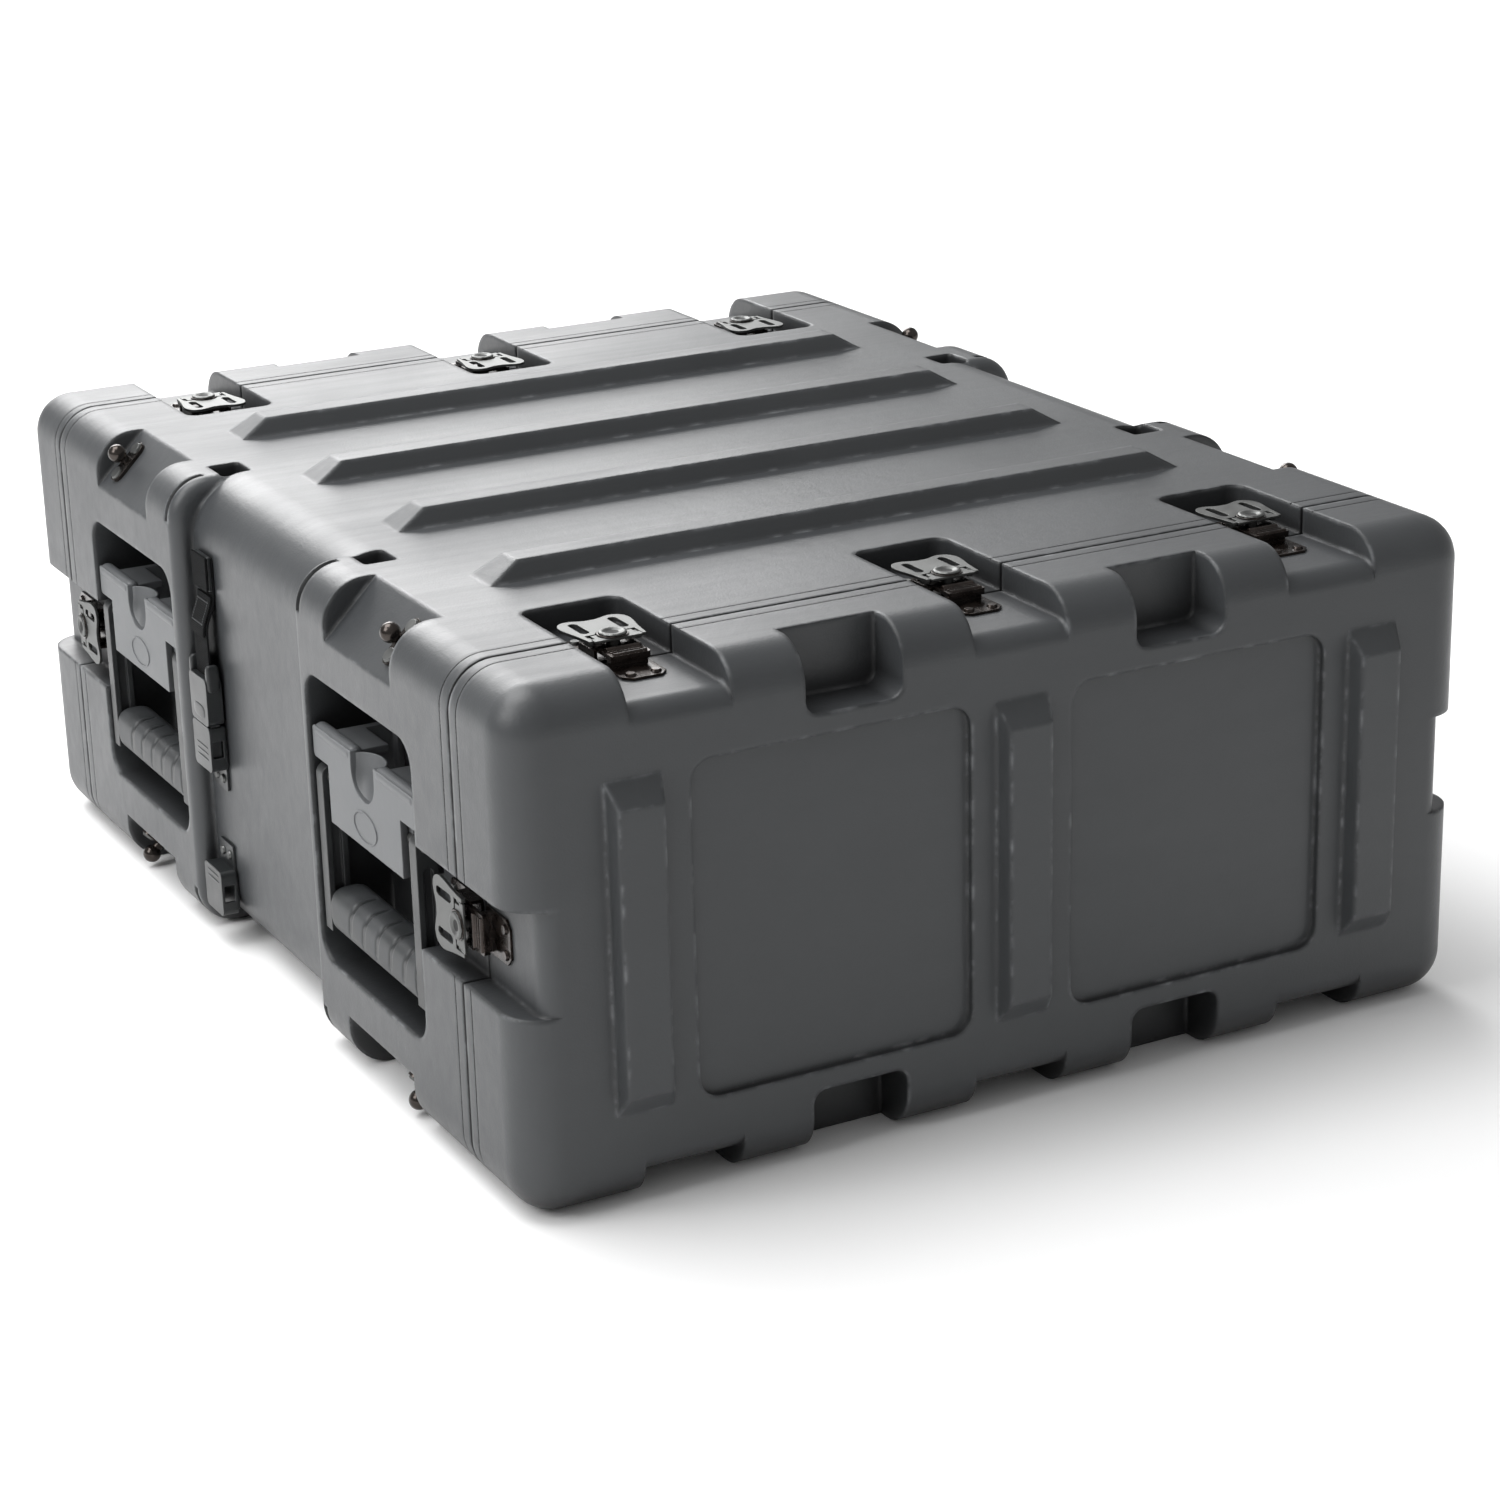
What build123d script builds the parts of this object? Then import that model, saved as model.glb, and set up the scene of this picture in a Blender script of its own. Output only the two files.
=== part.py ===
"""Shock-rack transport case: a moulded body with two lift-off lids and a 19-inch rack inside.

Frame: X is the width, Y the depth with the front lid towards -Y, Z is up.  The origin is on the
resting face, under the middle of the case.  Sizes are in millimetres.
"""
import os
from math import sqrt

from build123d import *

os.makedirs("parts", exist_ok=True)

# ---------------------------------------------------------------- driving dimensions
case_width = 660.0            # between the outer side faces
case_height = 317.5           # between the resting face and the top face
body_length = 688.0           # the body's two rims, front to rear
lid_depth = 73.6              # lid rim to the lid's flat face
rim_gap = 2.4                 # the parting groove between a lid and the body
wall = 6.5                    # moulded wall
overlap = 0.5                 # inner boxes run this far into the wall that they stand on
corner_radius = 28.0          # corners of the body and lid sections
lid_edge_radius = 26.0        # the lid's front edges
bead_inset = 10.0             # fine moulded line beside the parting groove
bead_width = 1.0
bead_depth = 0.7

rim_width = 24.0              # flange that frames each opening, seen from the front
rim_thickness = 8.0
gasket_width = 4.0
gasket_clearance = 0.2        # between the closed gasket and the body's rim

channel_half = 108.0          # half length of the waist between the corner pilasters
channel_depth = 14.0
channel_radius = 42.0         # section corners of the waist
pilaster_round = 9.0

rib_length = 492.8            # stacking ribs across the top
rib_width = 29.8
rib_crest = 19.0              # width of a rib's flat crest
rib_end_run = 20.0
rib_height = 12.0
rib_ys = (-206.7, -68.0, 68.0, 206.7)
nest_clearance = 1.5          # underside grooves over the ribs of a case below

face_rib_xs = (-253.75, 0.0, 253.75)
face_rib_width = 36.0
face_rib_crest = 28.4
face_rib_length = 202.0
face_rib_crest_length = 173.6
face_rib_height = 11.1
panel_x = 126.25              # centre of a recessed face panel
panel_width = 183.2
panel_height = 206.6
panel_radius = 14.0
panel_depth = 5.0
notch_x = 111.8               # grip notch in the lid's top and bottom edges
notch_width = 64.2
notch_drop = 42.7
notch_depth = 33.0

latch_x = 222.2               # side columns of latches; one more column is central
recess_depth = 17.0
recess_half_width = 32.3
recess_length = 67.7          # from the body's rim
recess_radius = 9.0
recess_lip_radius = 12.0

pocket_y = 203.6              # handle pocket centre, front and rear
pocket_width = 164.6
pocket_height = 190.0
pocket_depth = 50.0
pocket_radius = 18.0

tie_leg = 36.0                # bevelled corner for a tie-down stud
tie_start = 160.0
tie_end = 261.5
slot_x = 281.0                # small top pocket at a pilaster's inner end
slot_width = 22.0
slot_y = 125.0
slot_length = 26.0
slot_depth = 12.0
slot_groove_y = 119.0
slot_groove_width = 5.0
slot_groove_depth = 3.0

# 19-inch rack standard
rack_units = 4
rack_unit = 44.45
rack_hole_pitch_x = 465.1
rack_hole_edge = 6.35         # first hole above a unit's lower edge
rack_hole_step = 15.875
rack_hole_radius = 3.5
rack_opening = 450.0
rail_face_y = 300.0
rail_flange = 25.0
rail_thickness = 3.0
rail_return = 38.0
frame_sheet = 3.0
light_hole_ys = (-170.0, -85.0, 0.0, 85.0, 170.0)    # lightening holes in the frame's sides
light_hole_zs = (-38.0, 38.0)
frame_margin = 8.0            # the frame above and below the equipment space
frame_flange = 50.0
frame_length = 596.0
crossmember_width = 40.0
frame_light_radius = 24.0
bolt_radius = 3.0
bolt_head_radius = 5.0
bolt_head = 4.0
bolt_rows = (-60.0, 0.0, 60.0)
stud_radius = 4.0
nut_radius = 6.5
nut_height = 4.5
mount_x = 222.0
mount_y = 248.0
mount_radius = 17.0
mount_waist = 12.0
mount_plate = 4.0

# handles
handle_face_inset = 2.0       # the handle's face inside the case's side face
bracket_sheet = 5.0
bracket_span = 157.0
bracket_bar_top = 60.0        # heights about the case's middle
bracket_bar_bottom = 39.5
bracket_stem_bottom = 2.5
bracket_stem_width = 112.0
bracket_web = 6.0
bracket_bar_round = 3.0
thumb_round = 17.0
arm_inset = 1.0
grip_round = 10.0
core_round = 2.0
thumb_width = 36.0
thumb_bottom = 33.0
arm_width = 10.0
arm_depth = 14.0
arm_slot_width = 6.4
arm_slot_depth = 3.0
arm_slot_length = 77.0
arm_slot_foot = 12.0
pivot_height = 28.0
pin_radius = 4.0
pin_clearance = 0.08
web_to_arm = 4.0
handle_drop = 102.0           # pivot to the underside of the grip
grip_height = 28.0
grip_depth = 26.0
grip_core_height = 14.0
grip_core_depth = 8.0
grip_groove_width = 2.0
grip_groove_depth = 1.2
grip_groove_pitch = 22.0
foot_width = 14.0
foot_sheet = 4.0

# rotary draw latch, heights above the recess floor
pan_width = 30.0
pan_sheet = 1.6
pan_front = 3.0               # behind the parting line
pan_back = 46.0
hub_back = 9.0
hub_post_radius = 4.0
hub_disc_radius = 8.5
hub_disc_bottom = 13.0
hub_disc_top = 15.2
trunnion_height = 11.4
trunnion_radius = 1.5
trunnion_clearance = 0.08
wing_bottom = 12.6
wing_sheet = 1.8
wing_hub_hole = 10.0
hook_width = 25.0
hook_bottom = 6.6
hook_sheet = 2.4
hook_front = 15.0
hook_back = 24.0
hook_travel = 6.0
hook_clearance = 0.4
guide_sheet = 2.0
guide_gap = 0.5
guide_top = 8.2
strike_width = 28.0
strike_back = 3.2
strike_front = 35.0
riser_back = 8.0
riser_front = 13.5
rivet_radius = 2.0
rivet_head_radius = 3.4
rivet_head_height = 1.5
rivet_head_taper = 25.0
pan_corner = 3.0
pan_rivet_x = 9.0
pan_rivet_back = 41.0
strike_rivet_x = 8.0
strike_rivet_y = 29.0
strike_clip = 5.0             # clipped corners of a strike's base
cheek_gap = 1.0               # between the hook and a wing's cheeks
cheek_width = 3.5
cheek_length = 5.0
trunnion_start = 2.0          # inside the hub's post
horn_gap = 0.8                # between the pan and a wing's horns
horn_inset = 2.0              # behind the parting line
wing_front = 4.0              # wing's middle edge, behind the hub's axis
wing_shoulder = 18.0          # half of the wing's width over its horns
# half of the wing's edge, from the middle of its back round one lobe towards its horn
wing_lobe = ((0, -39.4), (7, -40.6), (13, -42.6), (19, -41), (22.3, -35), (22.2, -28), (20.4, -19),
             (18.8, -9))
wing_slot_x = 12.6
wing_slot_y = 27.5
wing_slot_length = 21.0
wing_slot_width = 5.6
collar_gap = 0.6              # between the hub's collar and the wing's cheeks or horns
collar_back = 2.4             # behind the hub's axis
collar_shoulder = 3.6         # ahead of the hub's axis, where the cheeks swing past
collar_sheet = 1.4
hub_scallops = 10
hub_scallop_radius = 1.4
hub_recess_radius = 2.4
hub_recess_depth = 1.6
hook_corner = 2.0
ridge_radius = 1.8
ridge_y = 3.0
nose_radius = 1.2
nose_inset = 2.4
riser_sheet = 2.0

# tie-down ball studs
stud_y = 243.0
stud_flange_length = 33.0
stud_flange_width = 13.0
stud_flange_sheet = 2.6
ball_radius = 6.4
ball_height = 11.5            # ball's centre above the bevelled wall
ball_neck_radius = 3.6
stud_screw_pitch = 21.0
stud_head_radius = 5.0

# stacking straps in the waist
strap_y = 84.0
web_width = 25.4
web_sheet = 2.0
web_top = 116.0               # heights about the case's middle
web_bottom = 23.0
clip_height = 24.0
clip_sheet = 2.0
buckle_width = 32.0
buckle_thickness = 11.0
buckle_wall = 1.8
plug_top = 33.0
plug_bottom = 0.0
plug_travel = 26.0            # clears the prongs of the socket
plug_corner = 4.0
prong_corner = 2.0
prong_reach = 24.0
prong_width = 6.0
prong_clearance = 0.5
socket_length = 32.0
socket_gap = 0.6              # plug's shoulder above the socket's mouth
stacking_socket_bottom = -136.0
anchor_sheet = 2.0
anchor_tail = 16.0
anchor_rivet_x = 6.0
socket_window = 12.0

# ---------------------------------------------------------------- derived values
mid_height = case_height / 2
half_width = case_width / 2
body_half = body_length / 2
lid_rim_y = body_half + rim_gap
lid_face_y = lid_rim_y + lid_depth
parting_y = body_half + rim_gap / 2
recess_back_y = body_half - recess_length
core_half = half_width - channel_depth
rib_crest_length = rib_length - 2 * rib_end_run
rack_height = rack_units * rack_unit
frame_height = rack_height + 2 * frame_margin
frame_half_width = rack_opening / 2 + rail_flange + frame_sheet
handle_face_x = half_width - handle_face_inset
pivot_x = handle_face_x - arm_depth / 2
arm_outer = bracket_span / 2 - arm_inset
arm_inner = arm_outer - arm_width
web_outer = arm_inner - web_to_arm
web_rise = (bracket_bar_top + bracket_stem_bottom) / 2
web_height = bracket_bar_top - bracket_stem_bottom - bracket_bar_round
ENDS = {"front": -1, "rear": 1}
SIDES = {"left": -1, "right": 1}


def section(y=0.0):
    """Plane across the case at depth y, looking towards the rear, centred on its height."""
    return Plane(origin=(0, y, mid_height), x_dir=(1, 0, 0), z_dir=(0, -1, 0))


def side_plane(side, x, y=0.0):
    """Plane parallel to a side face, its local x towards the rear and its normal outwards."""
    return Plane(origin=(side * x, y, mid_height), x_dir=(0, 1, 0), z_dir=(side, 0, 0)) if side > 0 \
        else Plane(origin=(side * x, y, mid_height), x_dir=(0, -1, 0), z_dir=(side, 0, 0))


def latch_sites():
    """Planes on the latch recess floors: origin on the parting line, y to the lid, z outwards."""
    sites = {}
    floor_z = mid_height - recess_depth
    floor_x = half_width - recess_depth
    for end_name, end in ENDS.items():
        lid_way = Vector(0, end, 0)
        for level_name, level in (("top", 1), ("bottom", -1)):
            for column_name, column in (("left", -1), ("centre", 0), ("right", 1)):
                origin = (column * latch_x, end * parting_y, mid_height + level * floor_z)
                out = Vector(0, 0, level)
                plane = Plane(origin=origin, x_dir=lid_way.cross(out), z_dir=out)
                sites[f"{end_name}_{level_name}_{column_name}"] = plane
        for side_name, side in SIDES.items():
            out = Vector(side, 0, 0)
            plane = Plane(origin=(side * floor_x, end * parting_y, mid_height),
                          x_dir=lid_way.cross(out), z_dir=out)
            sites[f"{end_name}_{side_name}"] = plane
    return sites


LATCHES = latch_sites()


def shifted(plane, x=0.0, y=0.0, z=0.0):
    """The plane moved within its own axes."""
    origin = plane.origin + plane.x_dir * x + plane.y_dir * y + plane.z_dir * z
    return Plane(origin=origin, x_dir=plane.x_dir, z_dir=plane.z_dir)


def save(piece, name):
    """Label a finished sub-part and write its STEP file."""
    piece.part.label = name
    export_step(piece.part, f"parts/{name}.step")


def corner_profile(side, level, points):
    """Section outline in one corner, from distances in from the side face and the top or bottom."""
    return [(side * (half_width - p), level * (mid_height - q)) for p, q in points]


# ---------------------------------------------------------------- body shell
with BuildPart() as pilasters:
    for end in ENDS.values():
        with BuildSketch(section(end * channel_half)):
            RectangleRounded(case_width, case_height, corner_radius)
        extrude(amount=-end * (body_half - channel_half))
    inner_rims = pilasters.edges().filter_by_position(Axis.Y, -channel_half, channel_half)
    fillet(inner_rims, radius=pilaster_round)

with BuildPart() as body_shell:
    with BuildSketch(section()):
        RectangleRounded(2 * core_half, case_height, channel_radius)
    extrude(amount=body_half, both=True)
    add(pilasters.part)
    # the hollow follows the outside at one wall's distance
    with BuildSketch(section()):
        RectangleRounded(2 * (core_half - wall), case_height - 2 * wall, channel_radius - wall)
    extrude(amount=body_half, both=True, mode=Mode.SUBTRACT)
    for end in ENDS.values():
        with BuildSketch(section(end * (channel_half + wall))):
            RectangleRounded(case_width - 2 * wall, case_height - 2 * wall, corner_radius - wall)
        extrude(amount=-end * (body_half - channel_half - wall), mode=Mode.SUBTRACT)
        # rim flange round the opening
        with BuildSketch(section(end * body_half)):
            RectangleRounded(case_width - wall, case_height - wall, corner_radius - wall / 2)
            RectangleRounded(case_width - 2 * rim_width, case_height - 2 * rim_width,
                             corner_radius / 2, mode=Mode.SUBTRACT)
        extrude(amount=end * rim_thickness)
    # inner walls behind the latch recesses
    lining = recess_half_width + wall
    for end in ENDS.values():
        for level in (-1, 1):
            floor = Plane.XY.offset(mid_height + level * (mid_height - wall / 2))
            with BuildSketch(floor):
                for x in (-latch_x, 0, latch_x):
                    with Locations((x, end * (recess_back_y - wall + body_half) / 2)):
                        Rectangle(2 * lining, body_half - recess_back_y + wall)
            extrude(amount=-level * (recess_depth + wall / 2))
    for side in SIDES.values():
        for end in ENDS.values():
            way = side * end
            start = pocket_y + pocket_width / 2
            with BuildSketch(side_plane(side, half_width - wall / 2)):
                with Locations((way * (start + body_half) / 2, 0)):
                    Rectangle(body_half - start, 2 * lining)
            extrude(amount=-(recess_depth + wall / 2))
            # box of a handle pocket
            with BuildSketch(side_plane(side, half_width - wall / 2)):
                with Locations((way * pocket_y, 0)):
                    RectangleRounded(pocket_width + 2 * wall, pocket_height + 2 * wall,
                                     pocket_radius + wall)
            extrude(amount=-(pocket_depth + wall / 2))
            for level in (-1, 1):
                # bevelled wall behind a tie-down stud
                near = tie_leg + wall * sqrt(2) - wall / 2
                far = corner_radius - wall
                lining_points = ((wall / 2, near), (near, wall / 2), (far, wall / 2), (wall / 2, far))
                with BuildSketch(section(end * (tie_start - wall))):
                    with BuildLine():
                        Polyline(*corner_profile(side, level, lining_points), close=True)
                    make_face()
                extrude(amount=-end * (tie_end - tie_start + 2 * wall))
                # box of the small pocket
                box_start = channel_half + overlap
                box_end = slot_y + slot_length / 2 + wall
                with BuildSketch(Plane.XY.offset(mid_height + level * (mid_height - wall + overlap))):
                    with Locations((side * slot_x, end * (box_start + box_end) / 2)):
                        Rectangle(slot_width + 2 * wall, box_end - box_start)
                extrude(amount=-level * (slot_depth + overlap))
    # floor raised over the nesting grooves
    groove_depth = rib_height + nest_clearance
    for rib_y in rib_ys:
        with BuildSketch(Plane.XY.offset(wall / 2)):
            with Locations((0, rib_y)):
                Rectangle(rib_length + 2 * (nest_clearance + wall),
                          rib_width + 2 * (nest_clearance + wall))
        with BuildSketch(Plane.XY.offset(groove_depth + wall)):
            with Locations((0, rib_y)):
                Rectangle(rib_crest_length + 2 * (nest_clearance + wall),
                          rib_crest + 2 * (nest_clearance + wall))
        loft()
    for rib_y in rib_ys:
        with BuildSketch(Plane.XY):
            with Locations((0, rib_y)):
                Rectangle(rib_length + 2 * nest_clearance, rib_width + 2 * nest_clearance)
        with BuildSketch(Plane.XY.offset(groove_depth)):
            with Locations((0, rib_y)):
                Rectangle(rib_crest_length + 2 * nest_clearance, rib_crest + 2 * nest_clearance)
        loft(mode=Mode.SUBTRACT)
        with BuildSketch(Plane.XY.offset(case_height)):
            with Locations((0, rib_y)):
                Rectangle(rib_length, rib_width)
        with BuildSketch(Plane.XY.offset(case_height + rib_height)):
            with Locations((0, rib_y)):
                Rectangle(rib_crest_length, rib_crest)
        loft()
    # latch recesses
    for end in ENDS.values():
        for level in (-1, 1):
            with BuildSketch(Plane.XY.offset(mid_height + level * (mid_height - recess_depth))):
                for x in (-latch_x, 0, latch_x):
                    with Locations((x, end * (recess_back_y + body_half + recess_radius) / 2)):
                        RectangleRounded(2 * recess_half_width,
                                         body_half + recess_radius - recess_back_y, recess_radius)
                        with Locations((0, end * (body_half - recess_back_y) / 2)):
                            Rectangle(2 * recess_half_width, 2 * recess_radius)
            extrude(amount=level * recess_depth, mode=Mode.SUBTRACT)
    for side in SIDES.values():
        for end in ENDS.values():
            way = side * end
            with BuildSketch(side_plane(side, half_width)):
                with Locations((way * (pocket_y + body_half) / 2, 0)):
                    Rectangle(body_half - pocket_y, 2 * recess_half_width)
            extrude(amount=-recess_depth, mode=Mode.SUBTRACT)
            with BuildSketch(side_plane(side, half_width)):
                with Locations((way * pocket_y, 0)):
                    RectangleRounded(pocket_width, pocket_height, pocket_radius)
            extrude(amount=-pocket_depth, mode=Mode.SUBTRACT)
            for level in (-1, 1):
                with BuildSketch(section(end * tie_start)):
                    with BuildLine():
                        Polyline(*corner_profile(side, level, ((0, 0), (tie_leg, 0), (0, tie_leg))),
                                 close=True)
                    make_face()
                extrude(amount=-end * (tie_end - tie_start), mode=Mode.SUBTRACT)
                with BuildSketch(Plane.XY.offset(mid_height + level * mid_height)):
                    with Locations((side * slot_x, end * slot_y)):
                        RectangleRounded(slot_width, slot_length, 3)
                extrude(amount=-level * slot_depth, mode=Mode.SUBTRACT)
                # groove from the small pocket round the corner
                with BuildSketch(section(end * (slot_groove_y - slot_groove_width / 2))):
                    with Locations((side * (half_width - corner_radius),
                                    level * (mid_height - corner_radius))):
                        Circle(corner_radius)
                        Circle(corner_radius - slot_groove_depth, mode=Mode.SUBTRACT)
                        with Locations((side * corner_radius, level * corner_radius)):
                            Rectangle(2 * corner_radius, 2 * corner_radius, mode=Mode.INTERSECT)
                extrude(amount=-end * slot_groove_width, mode=Mode.SUBTRACT)
    for end in ENDS.values():
        with BuildSketch(section(end * (body_half - bead_inset))):
            RectangleRounded(case_width, case_height, corner_radius)
            RectangleRounded(case_width - 2 * bead_depth, case_height - 2 * bead_depth,
                             corner_radius - bead_depth, mode=Mode.SUBTRACT)
        extrude(amount=end * bead_width, mode=Mode.SUBTRACT)
save(body_shell, "body_shell")


# ---------------------------------------------------------------- lids
def lid_cut_profile(end, level):
    """Outline of a latch recess in a lid, seen along X: a flat floor with a rounded front lip."""
    floor = level * (mid_height - recess_depth)
    lip_start = lid_face_y - recess_lip_radius
    lip_end = floor - level * recess_lip_radius
    beyond = lid_face_y + corner_radius
    outside = level * (mid_height + corner_radius)
    diagonal = recess_lip_radius / sqrt(2)
    lip_centre = (lip_start, floor - level * recess_lip_radius)
    lip_mid = (lip_centre[0] + diagonal, lip_centre[1] + level * diagonal)
    start = body_half
    Polyline((end * lip_start, floor), (end * start, floor), (end * start, outside),
             (end * beyond, outside), (end * beyond, lip_end), (end * lid_face_y, lip_end))
    ThreePointArc((end * lid_face_y, lip_end), (end * lip_mid[0], lip_mid[1]),
                  (end * lip_start, floor))


def make_lid(end):
    """A lid: a moulded tray with stiffening ribs, recessed panels, latch recesses and notches."""
    rim = section(end * lid_rim_y)
    with BuildPart() as outer:
        with BuildSketch(rim):
            RectangleRounded(case_width, case_height, corner_radius)
        extrude(amount=-end * lid_depth)
        face = outer.faces().sort_by(Axis.Y)[0 if end < 0 else -1]
        fillet(face.edges(), radius=lid_edge_radius)
    # blocks behind the latch recesses, notches and panels, which the recesses are then cut into
    with BuildPart() as linings:
        for level in (-1, 1):
            with BuildSketch(rim):
                for x in (-latch_x, 0, latch_x):
                    with Locations((x, level * (mid_height - recess_depth - wall + case_height / 4))):
                        Rectangle(2 * (recess_half_width + wall), case_height / 2)
            extrude(amount=-end * lid_depth)
            with BuildSketch(section(end * (lid_face_y - notch_depth - wall))):
                for x in (-notch_x, notch_x):
                    with Locations((x, level * (mid_height - notch_drop - wall + case_height / 4))):
                        Rectangle(notch_width + 2 * wall, case_height / 2)
            extrude(amount=-end * (notch_depth + wall))
        for side in SIDES.values():
            with BuildSketch(rim):
                with Locations((side * (half_width - recess_depth - wall + case_width / 4), 0)):
                    Rectangle(case_width / 2, 2 * (recess_half_width + wall))
            extrude(amount=-end * lid_depth)
        with BuildSketch(section(end * (lid_face_y - wall - panel_depth))):
            for x in (-panel_x, panel_x):
                with Locations((x, 0)):
                    RectangleRounded(panel_width + 2 * wall, panel_height + 2 * wall,
                                     panel_radius + wall)
        extrude(amount=-end * (panel_depth + wall))
        add(outer.part, mode=Mode.INTERSECT)
    with BuildPart() as lid:
        add(outer.part)
        with BuildSketch(rim):
            RectangleRounded(case_width - 2 * wall, case_height - 2 * wall, corner_radius - wall)
        hollow = lid_depth - wall
        extrude(amount=-end * (hollow - lid_edge_radius), mode=Mode.SUBTRACT)
        # the hollow narrows inside the rounded front edges
        with BuildSketch(section(end * (lid_rim_y + hollow - lid_edge_radius))):
            RectangleRounded(case_width - 2 * wall, case_height - 2 * wall, corner_radius - wall)
        inner_narrowing = lid_edge_radius - wall
        with BuildSketch(section(end * (lid_rim_y + hollow))):
            RectangleRounded(case_width - 2 * wall - inner_narrowing,
                             case_height - 2 * wall - inner_narrowing, corner_radius - wall)
        loft(mode=Mode.SUBTRACT)
        with BuildSketch(rim):
            RectangleRounded(case_width - wall, case_height - wall, corner_radius - wall / 2)
            RectangleRounded(case_width - 2 * rim_width, case_height - 2 * rim_width,
                             corner_radius / 2, mode=Mode.SUBTRACT)
        extrude(amount=-end * rim_thickness)
        add(linings.part)
        # recesses
        for level in (-1, 1):
            for x in (-latch_x, 0, latch_x):
                with BuildSketch(Plane(origin=(x, 0, mid_height), x_dir=(0, 1, 0), z_dir=(1, 0, 0))):
                    with BuildLine():
                        lid_cut_profile(end, level)
                    make_face()
                extrude(amount=recess_half_width, both=True, mode=Mode.SUBTRACT)
            with BuildSketch(section(end * (lid_face_y - notch_depth))):
                for x in (-notch_x, notch_x):
                    with Locations((x, level * mid_height)):
                        RectangleRounded(notch_width, 2 * notch_drop, pilaster_round)
            extrude(amount=-end * (notch_depth + face_rib_height), mode=Mode.SUBTRACT)
        for side in SIDES.values():
            side_floor = half_width - recess_depth
            lip_start = lid_face_y - recess_lip_radius
            diagonal = recess_lip_radius / sqrt(2)
            with BuildSketch(Plane.XY.offset(mid_height)):
                with BuildLine():
                    lip_x = side_floor - recess_lip_radius
                    beyond = half_width + corner_radius
                    Polyline((side * side_floor, end * lip_start), (side * side_floor, end * body_half),
                             (side * beyond, end * body_half),
                             (side * beyond, end * (lid_face_y + corner_radius)),
                             (side * lip_x, end * (lid_face_y + corner_radius)),
                             (side * lip_x, end * lid_face_y))
                    ThreePointArc((side * lip_x, end * lid_face_y),
                                  (side * (lip_x + diagonal), end * (lip_start + diagonal)),
                                  (side * side_floor, end * lip_start))
                make_face()
            extrude(amount=recess_half_width, both=True, mode=Mode.SUBTRACT)
        with BuildSketch(section(end * (lid_face_y - panel_depth))):
            for x in (-panel_x, panel_x):
                with Locations((x, 0)):
                    RectangleRounded(panel_width, panel_height, panel_radius)
        extrude(amount=-end * panel_depth, mode=Mode.SUBTRACT)
        for x in face_rib_xs:
            with BuildSketch(section(end * lid_face_y)):
                with Locations((x, 0)):
                    Rectangle(face_rib_width, face_rib_length)
            with BuildSketch(section(end * (lid_face_y + face_rib_height))):
                with Locations((x, 0)):
                    Rectangle(face_rib_crest, face_rib_crest_length)
            loft()
        with BuildSketch(section(end * (lid_rim_y + bead_inset))):
            RectangleRounded(case_width, case_height, corner_radius)
            RectangleRounded(case_width - 2 * bead_depth, case_height - 2 * bead_depth,
                             corner_radius - bead_depth, mode=Mode.SUBTRACT)
        extrude(amount=end * bead_width, mode=Mode.SUBTRACT)
    return lid


def make_gasket(end):
    """The seal bonded to a lid's rim flange."""
    inset = (rim_width + recess_depth) / 2
    with BuildPart() as gasket:
        with BuildSketch(section(end * lid_rim_y)):
            RectangleRounded(case_width - 2 * inset + gasket_width,
                             case_height - 2 * inset + gasket_width, corner_radius / 2)
            RectangleRounded(case_width - 2 * inset - gasket_width,
                             case_height - 2 * inset - gasket_width,
                             corner_radius / 2 - gasket_width, mode=Mode.SUBTRACT)
        extrude(amount=end * (rim_gap - gasket_clearance))
    return gasket


for end_name, end in ENDS.items():
    save(make_lid(end), f"{end_name}_lid")
    save(make_gasket(end), f"{end_name}_gasket")


# ---------------------------------------------------------------- rotary draw latches
def rivets(plane, places, stem, head_radius=rivet_head_radius):
    """Domed rivets standing on a sheet: stems through the sheet, heads on top of it."""
    with BuildPart() as group:
        with BuildSketch(plane):
            with Locations(*places):
                Circle(rivet_radius)
        extrude(amount=stem)
        with BuildSketch(shifted(plane, z=stem)):
            with Locations(*places):
                Circle(head_radius)
        extrude(amount=rivet_head_height, taper=rivet_head_taper)
    return group.part


pan_rivet_places = ((-pan_rivet_x, -pan_rivet_back), (pan_rivet_x, -pan_rivet_back))
strike_rivet_places = ((-strike_rivet_x, strike_rivet_y), (strike_rivet_x, strike_rivet_y))
cheek_inner = hook_width / 2 + cheek_gap
cheek_outer = cheek_inner + cheek_width
horn_inner = pan_width / 2 + horn_gap
with BuildPart() as latch_pans:
    for site in LATCHES.values():
        with BuildSketch(site):
            with Locations((0, -(pan_front + pan_back) / 2)):
                RectangleRounded(pan_width, pan_back - pan_front, pan_corner)
            with Locations(*pan_rivet_places):
                Circle(rivet_radius, mode=Mode.SUBTRACT)
        extrude(amount=pan_sheet)
        guide_x = hook_width / 2 + guide_gap + guide_sheet / 2
        guide_y = -(pan_front + hook_back) / 2
        with BuildSketch(shifted(site, z=pan_sheet)):
            with Locations((-guide_x, guide_y), (guide_x, guide_y)):
                Rectangle(guide_sheet, hook_back - pan_front)
        extrude(amount=guide_top - pan_sheet)
save(latch_pans, "latch_pans")

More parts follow.
